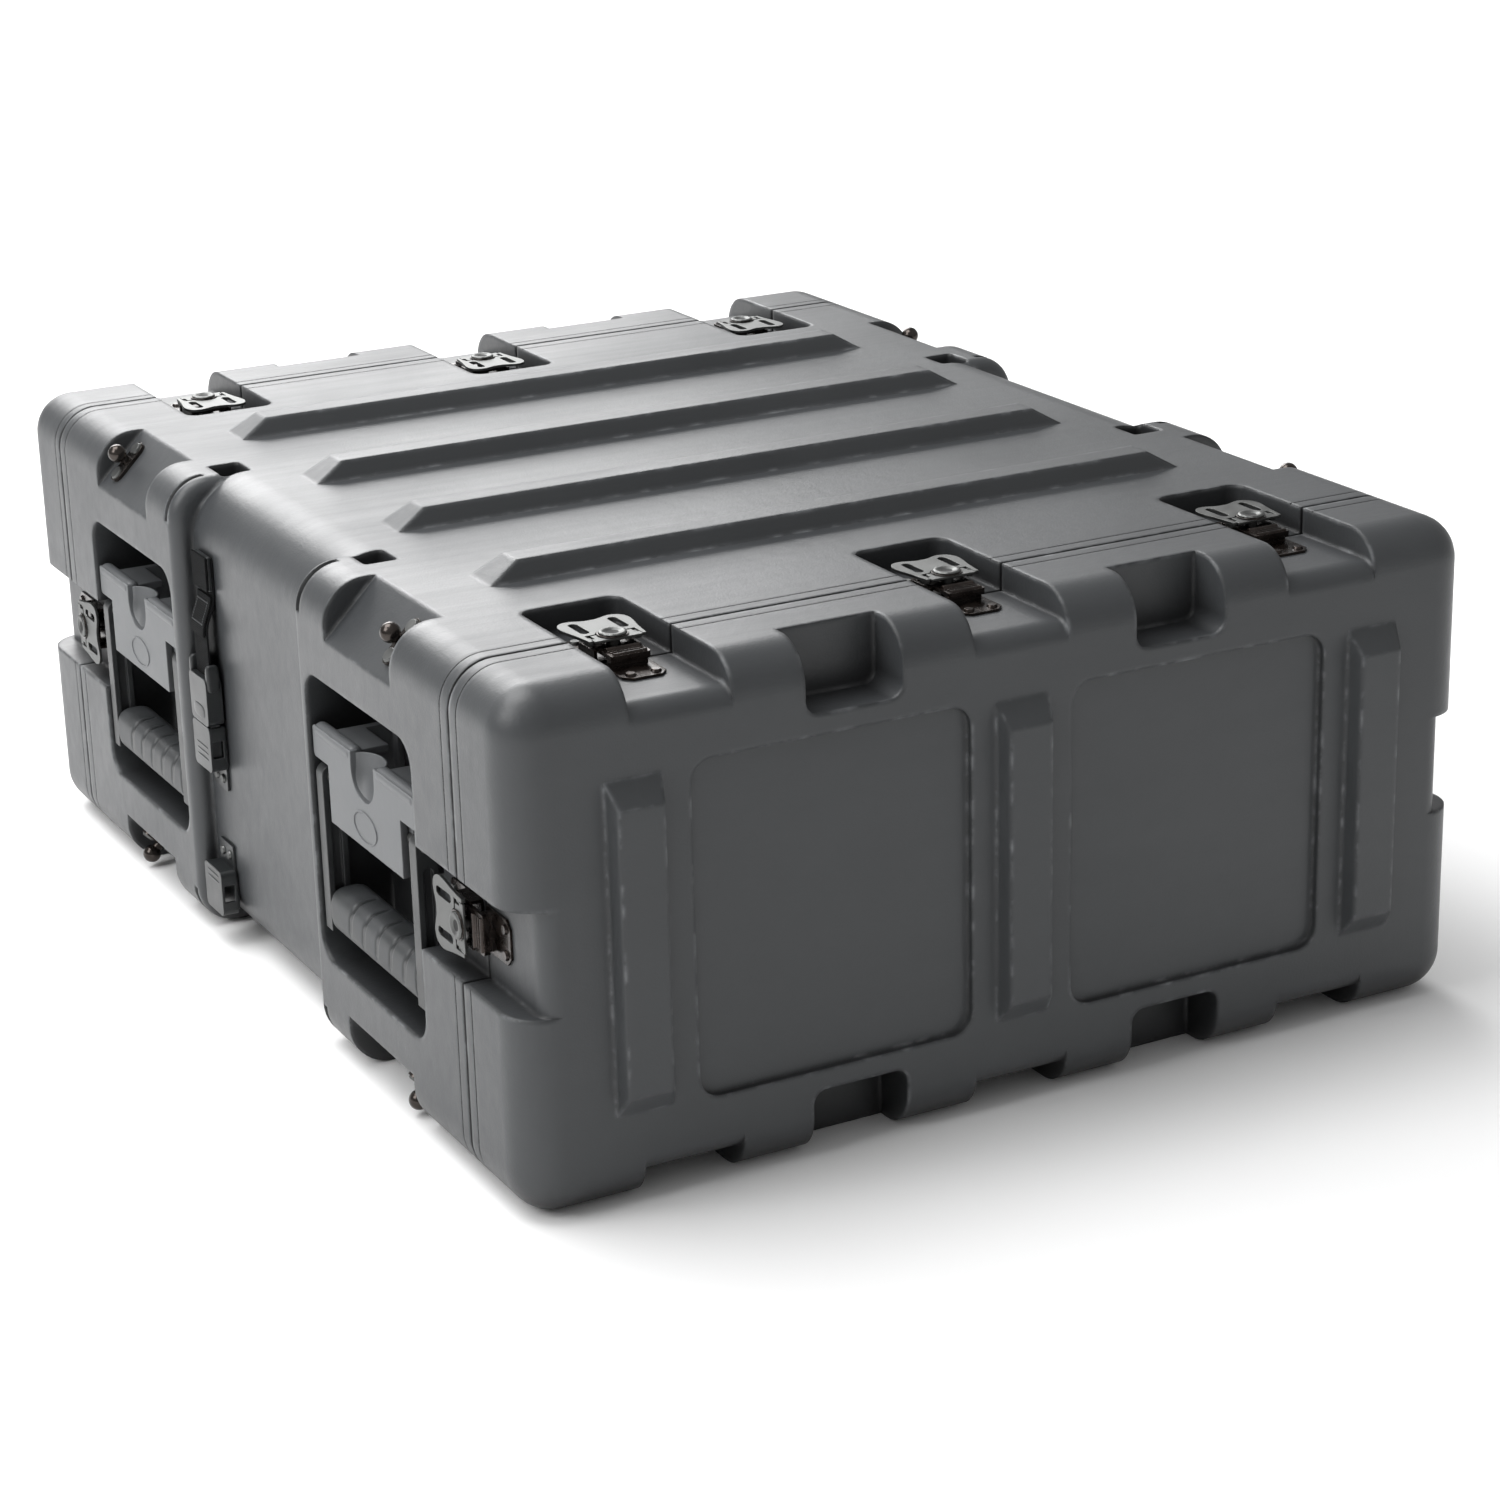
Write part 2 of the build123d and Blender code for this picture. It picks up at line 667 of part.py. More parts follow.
with BuildPart() as latch_hubs:
    for site in LATCHES.values():
        with BuildSketch(shifted(site, y=-hub_back, z=pan_sheet)):
            Circle(hub_post_radius)
        extrude(amount=hub_disc_bottom - pan_sheet)
        with BuildSketch(shifted(site, y=-hub_back, z=hub_disc_bottom)):
            Circle(hub_disc_radius)
            with PolarLocations(hub_disc_radius + hub_scallop_radius / 2, hub_scallops):
                Circle(hub_scallop_radius, mode=Mode.SUBTRACT)
        extrude(amount=hub_disc_top - hub_disc_bottom)
        # collar that fills the plan between the wing's horns
        shoulder = collar_shoulder - hub_back
        collar_front = collar_gap
        with BuildSketch(shifted(site, z=hub_disc_bottom)):
            with Locations((0, -(hub_back + collar_back + collar_front) / 2)):
                Rectangle(2 * (cheek_inner - collar_gap), hub_back + collar_back - collar_front)
            with Locations((0, (shoulder - collar_front) / 2)):
                Rectangle(2 * (horn_inner - collar_gap), -shoulder - collar_front)
        extrude(amount=collar_sheet)
        with BuildSketch(shifted(site, y=-hub_back, z=hub_disc_top)):
            Circle(hub_recess_radius)
        extrude(amount=-hub_recess_depth, mode=Mode.SUBTRACT)
        axle = shifted(site, y=-hub_back, z=trunnion_height)
        with BuildSketch(Plane(origin=axle.origin, x_dir=axle.y_dir, z_dir=axle.x_dir)):
            Circle(trunnion_radius + trunnion_clearance)
        extrude(amount=hub_post_radius, both=True, mode=Mode.SUBTRACT)
save(latch_hubs, "latch_hubs")


def make_wing(site):
    """The folding finger wing, hinged on trunnions that sit in the hub's post."""
    axle = shifted(site, y=-hub_back, z=trunnion_height)
    middle_edge = -hub_back - wing_front
    with BuildPart() as wing:
        with BuildSketch(shifted(site, z=wing_bottom)):
            with BuildLine():
                lobe = Spline(*wing_lobe, (wing_shoulder, -horn_inset))
                Polyline(lobe @ 1, (horn_inner, -horn_inset), (horn_inner, middle_edge), (0, middle_edge))
                mirror(about=Plane.YZ)
            make_face()
            with Locations((0, -hub_back)):
                Circle(wing_hub_hole, mode=Mode.SUBTRACT)
            with Locations((-wing_slot_x, -wing_slot_y), (wing_slot_x, -wing_slot_y)):
                SlotOverall(wing_slot_length, wing_slot_width, rotation=90, mode=Mode.SUBTRACT)
        extrude(amount=wing_sheet)
        for flank in (-1, 1):
            with BuildSketch(shifted(site, x=flank * (cheek_inner + cheek_outer) / 2,
                                     y=-hub_back, z=trunnion_height - trunnion_radius)):
                Rectangle(cheek_width, cheek_length)
            extrude(amount=wing_bottom - trunnion_height + trunnion_radius + wing_sheet / 2)
            start = shifted(axle, x=flank * trunnion_start)
            with BuildSketch(Plane(origin=start.origin, x_dir=axle.y_dir, z_dir=axle.x_dir * flank)):
                Circle(trunnion_radius)
            extrude(amount=cheek_inner - trunnion_start + overlap)
    return wing


def make_hook(site):
    """The draw hook: a slotted slide whose nose reaches over the strike."""
    slot_back = hub_back + hub_post_radius + hook_clearance + hook_travel
    slot_front = hub_back - hub_post_radius - hook_clearance
    with BuildPart() as hook:
        with BuildSketch(shifted(site, z=hook_bottom)):
            with Locations((0, (hook_front - hook_back) / 2)):
                RectangleRounded(hook_width, hook_front + hook_back, hook_corner)
            with Locations((0, -(slot_back + slot_front) / 2)):
                SlotOverall(slot_back - slot_front, 2 * (hub_post_radius + hook_clearance),
                            rotation=90, mode=Mode.SUBTRACT)
        extrude(amount=hook_sheet)
        for bead_y, bead_radius in ((ridge_y, ridge_radius), (hook_front - nose_inset, nose_radius)):
            bead = shifted(site, x=hook_corner - hook_width / 2, y=bead_y, z=hook_bottom + hook_sheet)
            with BuildSketch(Plane(origin=bead.origin, x_dir=bead.y_dir, z_dir=bead.x_dir)):
                Circle(bead_radius)
            extrude(amount=hook_width - 2 * hook_corner)
    return hook


for site_name, site in LATCHES.items():
    save(make_wing(site), f"wing_{site_name}")
    save(make_hook(site), f"hook_{site_name}")


def strike_outline():
    """Plan of a strike's base: square at the rim, clipped corners towards the lid's face."""
    half = strike_width / 2
    clipped = half - strike_clip
    shoulder = strike_front - strike_clip
    Polyline((-half, strike_back), (half, strike_back), (half, shoulder), (clipped, strike_front),
             (-clipped, strike_front), (-half, shoulder), close=True)


riser_top = hook_bottom - hook_clearance
for end_name in ENDS:
    lid_sites = [site for name, site in LATCHES.items() if name.startswith(end_name)]
    with BuildPart() as strikes:
        for site in lid_sites:
            with BuildSketch(site):
                with BuildLine():
                    strike_outline()
                make_face()
                with Locations(*strike_rivet_places):
                    Circle(rivet_radius, mode=Mode.SUBTRACT)
            extrude(amount=pan_sheet)
            riser_start = shifted(site, x=-hook_width / 2)
            with BuildSketch(Plane(origin=riser_start.origin, x_dir=site.y_dir, z_dir=site.x_dir)):
                with BuildLine():
                    Polyline((riser_back, pan_sheet), (riser_back, riser_top), (riser_front, riser_top),
                             (riser_front, riser_top - pan_sheet),
                             (riser_back + riser_sheet, riser_top - pan_sheet),
                             (riser_back + riser_sheet, pan_sheet), close=True)
                make_face()
            extrude(amount=hook_width)
    save(strikes, f"{end_name}_strikes")
    with BuildPart() as lid_rivets:
        for site in lid_sites:
            add(rivets(site, strike_rivet_places, pan_sheet))
    save(lid_rivets, f"{end_name}_lid_rivets")


# ---------------------------------------------------------------- carrying handles
def handle_plane(side, end, x):
    """Plane parallel to a side face at a handle: x along the case, y up, z outwards."""
    return side_plane(side, x, end * pocket_y)


def pivot_rounds(side, end, radius, inner, outer):
    """Rounds on a handle's pivot axis, one on each flank, between two distances from its middle."""
    with BuildPart() as rounds:
        for flank in (-1, 1):
            with BuildSketch(section(end * pocket_y + flank * (inner + outer) / 2)):
                with Locations((side * pivot_x, pivot_height)):
                    Circle(radius)
            extrude(amount=(outer - inner) / 2, both=True)
    return rounds.part


HANDLES = {f"{end_name}_{side_name}": (side, end)
           for end_name, end in ENDS.items() for side_name, side in SIDES.items()}

with BuildPart() as handle_brackets:
    for side, end in HANDLES.values():
        with BuildSketch(handle_plane(side, end, handle_face_x)):
            with Locations((0, (bracket_bar_top + bracket_bar_bottom) / 2)):
                RectangleRounded(bracket_span, bracket_bar_top - bracket_bar_bottom, bracket_bar_round)
            stem_top = bracket_bar_bottom + 2 * bracket_bar_round
            with Locations((0, (stem_top + bracket_stem_bottom) / 2)):
                Rectangle(bracket_stem_width, stem_top - bracket_stem_bottom)
            with Locations((0, bracket_bar_top)):
                RectangleRounded(thumb_width, 2 * (bracket_bar_top - thumb_bottom), thumb_round,
                                 mode=Mode.SUBTRACT)
        extrude(amount=-bracket_sheet)
        # webs back to the pocket's floor, with feet
        web_depth = pocket_depth - handle_face_inset - bracket_sheet
        for flank in (-1, 1):
            with BuildSketch(handle_plane(side, end, handle_face_x - bracket_sheet)):
                with Locations((flank * (web_outer - bracket_web / 2), web_rise)):
                    Rectangle(bracket_web, web_height)
            extrude(amount=-web_depth)
            with BuildSketch(handle_plane(side, end, half_width - pocket_depth)):
                with Locations((flank * (web_outer - foot_width / 2), web_rise)):
                    Rectangle(foot_width, web_height)
            extrude(amount=foot_sheet)
        # roof over the webs
        with BuildSketch(handle_plane(side, end, handle_face_x - bracket_sheet)):
            roof_width = web_outer - thumb_width / 2 - bracket_bar_round
            roof_rise = bracket_bar_top - bracket_bar_round / 2 - bracket_sheet / 2
            for flank in (-1, 1):
                with Locations((flank * (web_outer - roof_width / 2), roof_rise)):
                    Rectangle(roof_width, bracket_sheet)
        extrude(amount=-web_depth / 2)
        add(pivot_rounds(side, end, pin_radius, web_outer - bracket_web, web_outer), mode=Mode.SUBTRACT)
save(handle_brackets, "handle_brackets")

with BuildPart() as handle_pins:
    for side, end in HANDLES.values():
        add(pivot_rounds(side, end, pin_radius, web_outer - bracket_web, arm_outer))
save(handle_pins, "handle_pins")


def make_yoke(side, end):
    """A bail handle's slotted arms and the core bar that joins them."""
    arm_bottom = pivot_height - handle_drop
    arm_middle = end * pocket_y
    with BuildPart() as yoke:
        for flank in (-1, 1):
            arm_y = arm_middle + flank * (arm_inner + arm_width / 2)
            with BuildSketch(section(arm_y)):
                with Locations((side * pivot_x, pivot_height)):
                    Circle(arm_depth / 2)
                with Locations((side * pivot_x, (pivot_height + arm_bottom) / 2)):
                    Rectangle(arm_depth, handle_drop)
                with Locations((side * pivot_x, pivot_height)):
                    Circle(pin_radius + pin_clearance, mode=Mode.SUBTRACT)
            extrude(amount=arm_width / 2, both=True)
            for cheek in (-1, 1):
                groove_y = arm_y + cheek * (arm_width - arm_slot_depth) / 2
                with BuildSketch(section(groove_y)):
                    with Locations((side * pivot_x, arm_bottom + arm_slot_foot + arm_slot_length / 2)):
                        SlotOverall(arm_slot_length, arm_slot_width, rotation=90)
                extrude(amount=arm_slot_depth / 2, both=True, mode=Mode.SUBTRACT)
        with BuildSketch(section(arm_middle)):
            with Locations((side * pivot_x, arm_bottom + grip_height / 2)):
                RectangleRounded(grip_core_depth, grip_core_height, core_round)
        extrude(amount=arm_inner, both=True)
    return yoke


def make_grip(side, end):
    """The soft grip moulded over a handle's core bar, with shallow grooves round it."""
    centre = (side * (handle_face_x - grip_depth / 2), pivot_height - handle_drop + grip_height / 2)
    with BuildPart() as grip:
        with BuildSketch(section(end * pocket_y)):
            with Locations(centre):
                RectangleRounded(grip_depth, grip_height, grip_round)
            with Locations((side * pivot_x, centre[1])):
                RectangleRounded(grip_core_depth, grip_core_height, core_round, mode=Mode.SUBTRACT)
        extrude(amount=arm_inner, both=True)
        for step in (-2, -1, 0, 1, 2):
            with BuildSketch(section(end * pocket_y + step * grip_groove_pitch)):
                with Locations(centre):
                    RectangleRounded(grip_depth, grip_height, grip_round)
                    RectangleRounded(grip_depth - 2 * grip_groove_depth,
                                     grip_height - 2 * grip_groove_depth,
                                     grip_round - grip_groove_depth, mode=Mode.SUBTRACT)
            extrude(amount=grip_groove_width / 2, both=True, mode=Mode.SUBTRACT)
    return grip


for handle_name, (side, end) in HANDLES.items():
    bail = Compound(label=f"handle_{handle_name}",
                    children=[make_yoke(side, end).part, make_grip(side, end).part])
    export_step(bail, f"parts/handle_{handle_name}.step")


# ---------------------------------------------------------------- tie-down ball studs
def bevel_plane(side, end, level):
    """Plane on a bevelled corner wall at its stud: y along the case, z outwards."""
    out = Vector(side, 0, level).normalized()
    origin = (side * (half_width - tie_leg / 2), end * stud_y,
              mid_height + level * (mid_height - tie_leg / 2))
    return Plane(origin=origin, x_dir=Vector(0, 1, 0).cross(out), z_dir=out)


BEVELS = [bevel_plane(side, end, level)
          for side in SIDES.values() for end in ENDS.values() for level in (-1, 1)]
stud_screw_places = ((-stud_screw_pitch / 2, 0), (stud_screw_pitch / 2, 0))

with BuildPart() as tie_down_studs:
    for bevel in BEVELS:
        with BuildSketch(bevel):
            SlotOverall(stud_flange_length, stud_flange_width)
            with Locations(*stud_screw_places):
                Circle(rivet_radius, mode=Mode.SUBTRACT)
        extrude(amount=stud_flange_sheet)
        with BuildSketch(bevel):
            Circle(ball_neck_radius)
        extrude(amount=ball_height)
        with Locations(shifted(bevel, z=ball_height)):
            Sphere(ball_radius)
save(tie_down_studs, "tie_down_studs")


# ---------------------------------------------------------------- stacking straps
def strap_plane(side, lift=0.0):
    """Plane on the waist's floor at the straps: y up from mid-height, z outwards."""
    return side_plane(side, core_half + lift, strap_y)


def socket_body(side, mouth, way):
    """A side-release socket: a hollow box, open at its mouth, with a window in each flank."""
    middle = mouth - way * socket_length / 2
    with BuildPart() as socket:
        with BuildSketch(strap_plane(side, anchor_sheet)):
            with Locations((0, middle)):
                RectangleRounded(buckle_width, socket_length, plug_corner)
        extrude(amount=buckle_thickness)
        with BuildSketch(strap_plane(side, anchor_sheet + buckle_wall)):
            with Locations((0, middle + way * buckle_wall)):
                Rectangle(buckle_width - 2 * buckle_wall, socket_length)
            with Locations((-buckle_width / 2, middle), (buckle_width / 2, middle)):
                Rectangle(4 * buckle_wall, socket_window)
        extrude(amount=buckle_thickness - 2 * buckle_wall, mode=Mode.SUBTRACT)
    return socket.part


def anchor_plate(side, mouth, way):
    """The sheet that a socket stands on, with a riveted tail beyond the socket's closed end."""
    start = mouth - way * buckle_wall
    end = mouth - way * (socket_length + anchor_tail)
    with BuildPart() as plate:
        with BuildSketch(strap_plane(side)):
            with Locations((0, (start + end) / 2)):
                RectangleRounded(web_width, abs(start - end), 2)
            with Locations(*anchor_rivet_places(mouth, way)):
                Circle(rivet_radius, mode=Mode.SUBTRACT)
        extrude(amount=anchor_sheet)
    return plate.part


def anchor_rivet_places(mouth, way):
    """Rivet centres in an anchor plate's tail."""
    height = mouth - way * (socket_length + anchor_tail / 2)
    return ((-anchor_rivet_x, height), (anchor_rivet_x, height))


parking_mouth = plug_bottom - socket_gap
SOCKETS = ((parking_mouth, 1), (stacking_socket_bottom, -1))
clip_rise = web_top - clip_height / 2
clip_rivet_places = ((-anchor_rivet_x, clip_rise), (anchor_rivet_x, clip_rise))
web_lift = anchor_sheet + (buckle_thickness - web_sheet) / 2

with BuildPart() as buckle_sockets:
    for side in SIDES.values():
        for mouth, way in SOCKETS:
            add(socket_body(side, mouth, way))
save(buckle_sockets, "buckle_sockets")

with BuildPart() as strap_anchor_plates:
    for side in SIDES.values():
        for mouth, way in SOCKETS:
            add(anchor_plate(side, mouth, way))
        with BuildSketch(strap_plane(side, web_sheet)):
            with Locations((0, web_top - clip_height / 2)):
                RectangleRounded(web_width, clip_height, 2)
            with Locations(*clip_rivet_places):
                Circle(rivet_radius, mode=Mode.SUBTRACT)
        extrude(amount=clip_sheet)
save(strap_anchor_plates, "strap_anchor_plates")

with BuildPart() as strap_webbing:
    for side in SIDES.values():
        bend_top = web_top - clip_height - plug_corner / 2
        bend_bottom = plug_top + plug_travel + plug_corner
        with BuildSketch(section(strap_y)):
            with BuildLine():
                inner = [(0, web_top), (0, bend_top), (web_lift, bend_bottom), (web_lift, web_bottom)]
                outer = [(lift + web_sheet, height) for lift, height in reversed(inner)]
                outline = [(side * (core_half + lift), height) for lift, height in inner + outer]
                Polyline(*outline, close=True)
            make_face()
        extrude(amount=web_width / 2, both=True)
        with BuildSketch(strap_plane(side)):
            with Locations(*clip_rivet_places):
                Circle(rivet_radius)
        extrude(amount=web_sheet, mode=Mode.SUBTRACT)
save(strap_webbing, "strap_webbing")


def make_plug(side):
    """The strap's side-release plug, with a slot that the webbing runs through."""
    with BuildPart() as plug:
        with BuildSketch(strap_plane(side, anchor_sheet)):
            with Locations((0, (plug_top + plug_bottom) / 2)):
                RectangleRounded(buckle_width, plug_top - plug_bottom, plug_corner)
        extrude(amount=buckle_thickness)
        prong_sheet = buckle_thickness - 2 * buckle_wall - 2 * prong_clearance
        prong_x = buckle_width / 2 - buckle_wall - prong_clearance - prong_width / 2
        with BuildSketch(strap_plane(side, anchor_sheet + buckle_wall + prong_clearance)):
            for x in (-prong_x, 0, prong_x):
                with Locations((x, plug_bottom + prong_corner / 2 - prong_reach / 2)):
                    RectangleRounded(prong_width, prong_reach + prong_corner, prong_corner)
        extrude(amount=prong_sheet)
        # slot deep enough for the webbing at the end of the plug's travel
        slot_foot = web_bottom - plug_travel - prong_clearance
        with BuildSketch(strap_plane(side, web_lift - prong_clearance)):
            with Locations((0, (plug_top + slot_foot) / 2)):
                Rectangle(web_width + 2 * prong_clearance, plug_top - slot_foot)
        extrude(amount=web_sheet + 2 * prong_clearance, mode=Mode.SUBTRACT)
    return plug


for side_name, side in SIDES.items():
    save(make_plug(side), f"strap_plug_{side_name}")

with BuildPart() as body_rivets:
    for site in LATCHES.values():
        add(rivets(site, pan_rivet_places, pan_sheet))
    for bevel in BEVELS:
        add(rivets(bevel, stud_screw_places, stud_flange_sheet, stud_head_radius))
    for side in SIDES.values():
        for mouth, way in SOCKETS:
            add(rivets(strap_plane(side), anchor_rivet_places(mouth, way), anchor_sheet))
        add(rivets(strap_plane(side), clip_rivet_places, web_sheet + clip_sheet))
save(body_rivets, "body_rivets")


# ---------------------------------------------------------------- 19-inch rack
bolt_y = rail_face_y - rail_return / 2

with BuildPart() as rack_frame:
    for side in SIDES.values():
        with BuildSketch(side_plane(side, frame_half_width)):
            Rectangle(frame_length, frame_height)
            with Locations(*[(y, z) for y in light_hole_ys for z in light_hole_zs]):
                Circle(frame_light_radius, mode=Mode.SUBTRACT)
            for end in ENDS.values():
                with Locations(*[(end * bolt_y, z) for z in bolt_rows]):
                    Circle(bolt_radius, mode=Mode.SUBTRACT)
        extrude(amount=-frame_sheet)
    for level in (-1, 1):
        with BuildSketch(Plane.XY.offset(mid_height + level * frame_height / 2)):
            for side in SIDES.values():
                with Locations((side * (frame_half_width - frame_flange / 2), 0)):
                    Rectangle(frame_flange, frame_length)
            for end in ENDS.values():
                with Locations((0, end * (frame_length - crossmember_width) / 2)):
                    Rectangle(2 * frame_half_width, crossmember_width)
            with Locations(*[(side * mount_x, end * mount_y) for side in (-1, 1) for end in (-1, 1)]):
                Circle(stud_radius, mode=Mode.SUBTRACT)
        extrude(amount=-level * frame_sheet)
save(rack_frame, "rack_frame")

hole_heights = [(unit - rack_units / 2) * rack_unit + rack_hole_edge + step * rack_hole_step
                for unit in range(rack_units) for step in range(3)]

with BuildPart() as rack_rails:
    for end in ENDS.values():
        for side in SIDES.values():
            with BuildSketch(section(end * rail_face_y)):
                with Locations((side * (rack_opening + rail_flange) / 2, 0)):
                    Rectangle(rail_flange, rack_height)
                with Locations(*[(side * rack_hole_pitch_x / 2, height) for height in hole_heights]):
                    Circle(rack_hole_radius, mode=Mode.SUBTRACT)
            extrude(amount=end * rail_thickness)
            with BuildSketch(side_plane(side, rack_opening / 2 + rail_flange)):
                with Locations((side * end * (rail_face_y - rail_return / 2), 0)):
                    Rectangle(rail_return, rack_height)
                with Locations(*[(side * end * bolt_y, z) for z in bolt_rows]):
                    Circle(bolt_radius, mode=Mode.SUBTRACT)
            extrude(amount=-rail_thickness)
save(rack_rails, "rack_rails")

mount_height = mid_height - wall - frame_height / 2

with BuildPart() as shock_mounts:
    for level in (-1, 1):
        for side in SIDES.values():
            for end in ENDS.values():
                place = (side * mount_x, end * mount_y, mid_height + level * frame_height / 2)
                seat = Plane(origin=place, x_dir=(1, 0, 0), z_dir=(0, 0, level))
                with BuildSketch(seat):
                    Circle(mount_radius)
                extrude(amount=mount_plate)
                with BuildSketch(seat.offset(mount_plate)):
                    Circle(mount_waist)
                extrude(amount=mount_height - 2 * mount_plate)
                with BuildSketch(seat.offset(mount_height - mount_plate)):
                    Circle(mount_radius)
                extrude(amount=mount_plate)
                with BuildSketch(seat):
                    Circle(stud_radius)
                extrude(amount=mount_height / 2, mode=Mode.SUBTRACT)
save(shock_mounts, "shock_mounts")

with BuildPart() as frame_bolts:
    for side in SIDES.values():
        for end in ENDS.values():
            head_plane = side_plane(side, rack_opening / 2 + rail_flange - rail_thickness)
            with BuildSketch(head_plane):
                with Locations(*[(side * end * bolt_y, z) for z in bolt_rows]):
                    Circle(bolt_radius)
            extrude(amount=rail_thickness + frame_sheet)
            with BuildSketch(head_plane):
                with Locations(*[(side * end * bolt_y, z) for z in bolt_rows]):
                    RegularPolygon(bolt_head_radius, 6)
            extrude(amount=-bolt_head)
            for level in (-1, 1):
                place = (side * mount_x, end * mount_y,
                         mid_height + level * (frame_height / 2 - frame_sheet))
                seat = Plane(origin=place, x_dir=(1, 0, 0), z_dir=(0, 0, level))
                with BuildSketch(seat):
                    Circle(stud_radius)
                extrude(amount=frame_sheet + mount_height / 2)
                with BuildSketch(seat):
                    RegularPolygon(nut_radius, 6)
                extrude(amount=-nut_height)
save(frame_bolts, "frame_bolts")
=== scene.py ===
"""Looks of a shock-mounted equipment rack case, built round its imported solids.

Lengths are in metres in the case's own frame: X across, Y from the front lid to the rear lid,
Z up, with the origin on the resting face under the middle.
"""

import logging
import math
from dataclasses import dataclass
from enum import Enum

import bmesh
import bpy
import numpy as np
from mathutils import Matrix, Vector


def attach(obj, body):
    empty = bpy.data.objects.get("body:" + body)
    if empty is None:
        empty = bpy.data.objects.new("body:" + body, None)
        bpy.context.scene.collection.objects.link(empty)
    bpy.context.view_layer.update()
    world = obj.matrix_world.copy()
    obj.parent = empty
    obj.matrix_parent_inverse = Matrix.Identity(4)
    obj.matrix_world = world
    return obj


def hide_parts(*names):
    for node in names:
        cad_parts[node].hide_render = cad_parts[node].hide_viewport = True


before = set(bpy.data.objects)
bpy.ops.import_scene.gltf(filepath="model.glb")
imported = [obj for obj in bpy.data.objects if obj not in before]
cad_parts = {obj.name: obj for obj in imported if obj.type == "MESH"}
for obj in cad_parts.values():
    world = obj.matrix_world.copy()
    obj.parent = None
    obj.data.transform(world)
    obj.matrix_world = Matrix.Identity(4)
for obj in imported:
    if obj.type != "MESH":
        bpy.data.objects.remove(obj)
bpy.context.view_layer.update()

LOG = logging.getLogger("rack_case")
MM = 0.001
SMOOTH_UNDER = 40.0  # degrees between faces, under which a piece shades smoothly
# A wave texture draws 20 / tau bands per unit of scale; this share puts three on two grains.
WAVE_SHARE = 3.1 / math.tau
# Painted shade in recesses: the share of open sky at which it starts and at which it's full, then
# its strength and its colour.
RECESS_OPEN, RECESS_FULL, RECESS_SHADE_MAX, RECESS_SHADE_COLOUR = 0.72, 0.2, 0.85, "131212"
# Paler edges, partly wear and partly a painted highlight: the cosine between rounded and
# true normal where they start and where they're full, their strength, and their patch size.
EDGE_START, EDGE_FULL, EDGE_WEAR_AND_HIGHLIGHT, EDGE_PATCH_MM = 0.995, 0.86, 0.75, 14.0
MERGE_GAP = 0.01 * MM
MID_HEIGHT = 0.15875


# ------------------------------------------------------------------ nodes and colours
def linear(code: str) -> tuple[float, float, float, float]:
    """Turns an sRGB hex value into linear light.

    Args:
        code: six hex digits, without a leading mark.

    Returns:
        Linear red, green, blue and an alpha of one.
    """
    parts = [int(code[i : i + 2], 16) / 255 for i in (0, 2, 4)]
    lit = [c / 12.92 if c <= 0.04045 else ((c + 0.055) / 1.055) ** 2.4 for c in parts]
    return lit[0], lit[1], lit[2], 1.0


def add_node(
    tree: bpy.types.NodeTree, kind: str, inputs: dict | None = None, **settings: object
) -> bpy.types.Node:
    """Adds one node with its settings and links.

    Args:
        tree: the material's node tree.
        kind: the node's type name.
        inputs: socket name or number to a value or to another node's output.
        **settings: attributes set on the node itself.

    Returns:
        The new node.
    """
    node = tree.nodes.new(kind)
    for key, value in settings.items():
        setattr(node, key, value)
    for key, value in (inputs or {}).items():
        if isinstance(value, bpy.types.NodeSocket):
            tree.links.new(value, node.inputs[key])
        else:
            node.inputs[key].default_value = value
    return node


class Pattern(Enum):
    """How a finish's surface was made."""

    MOULDED = "moulded"
    BRUSHED = "brushed"
    COATED = "coated"
    WOVEN = "woven"


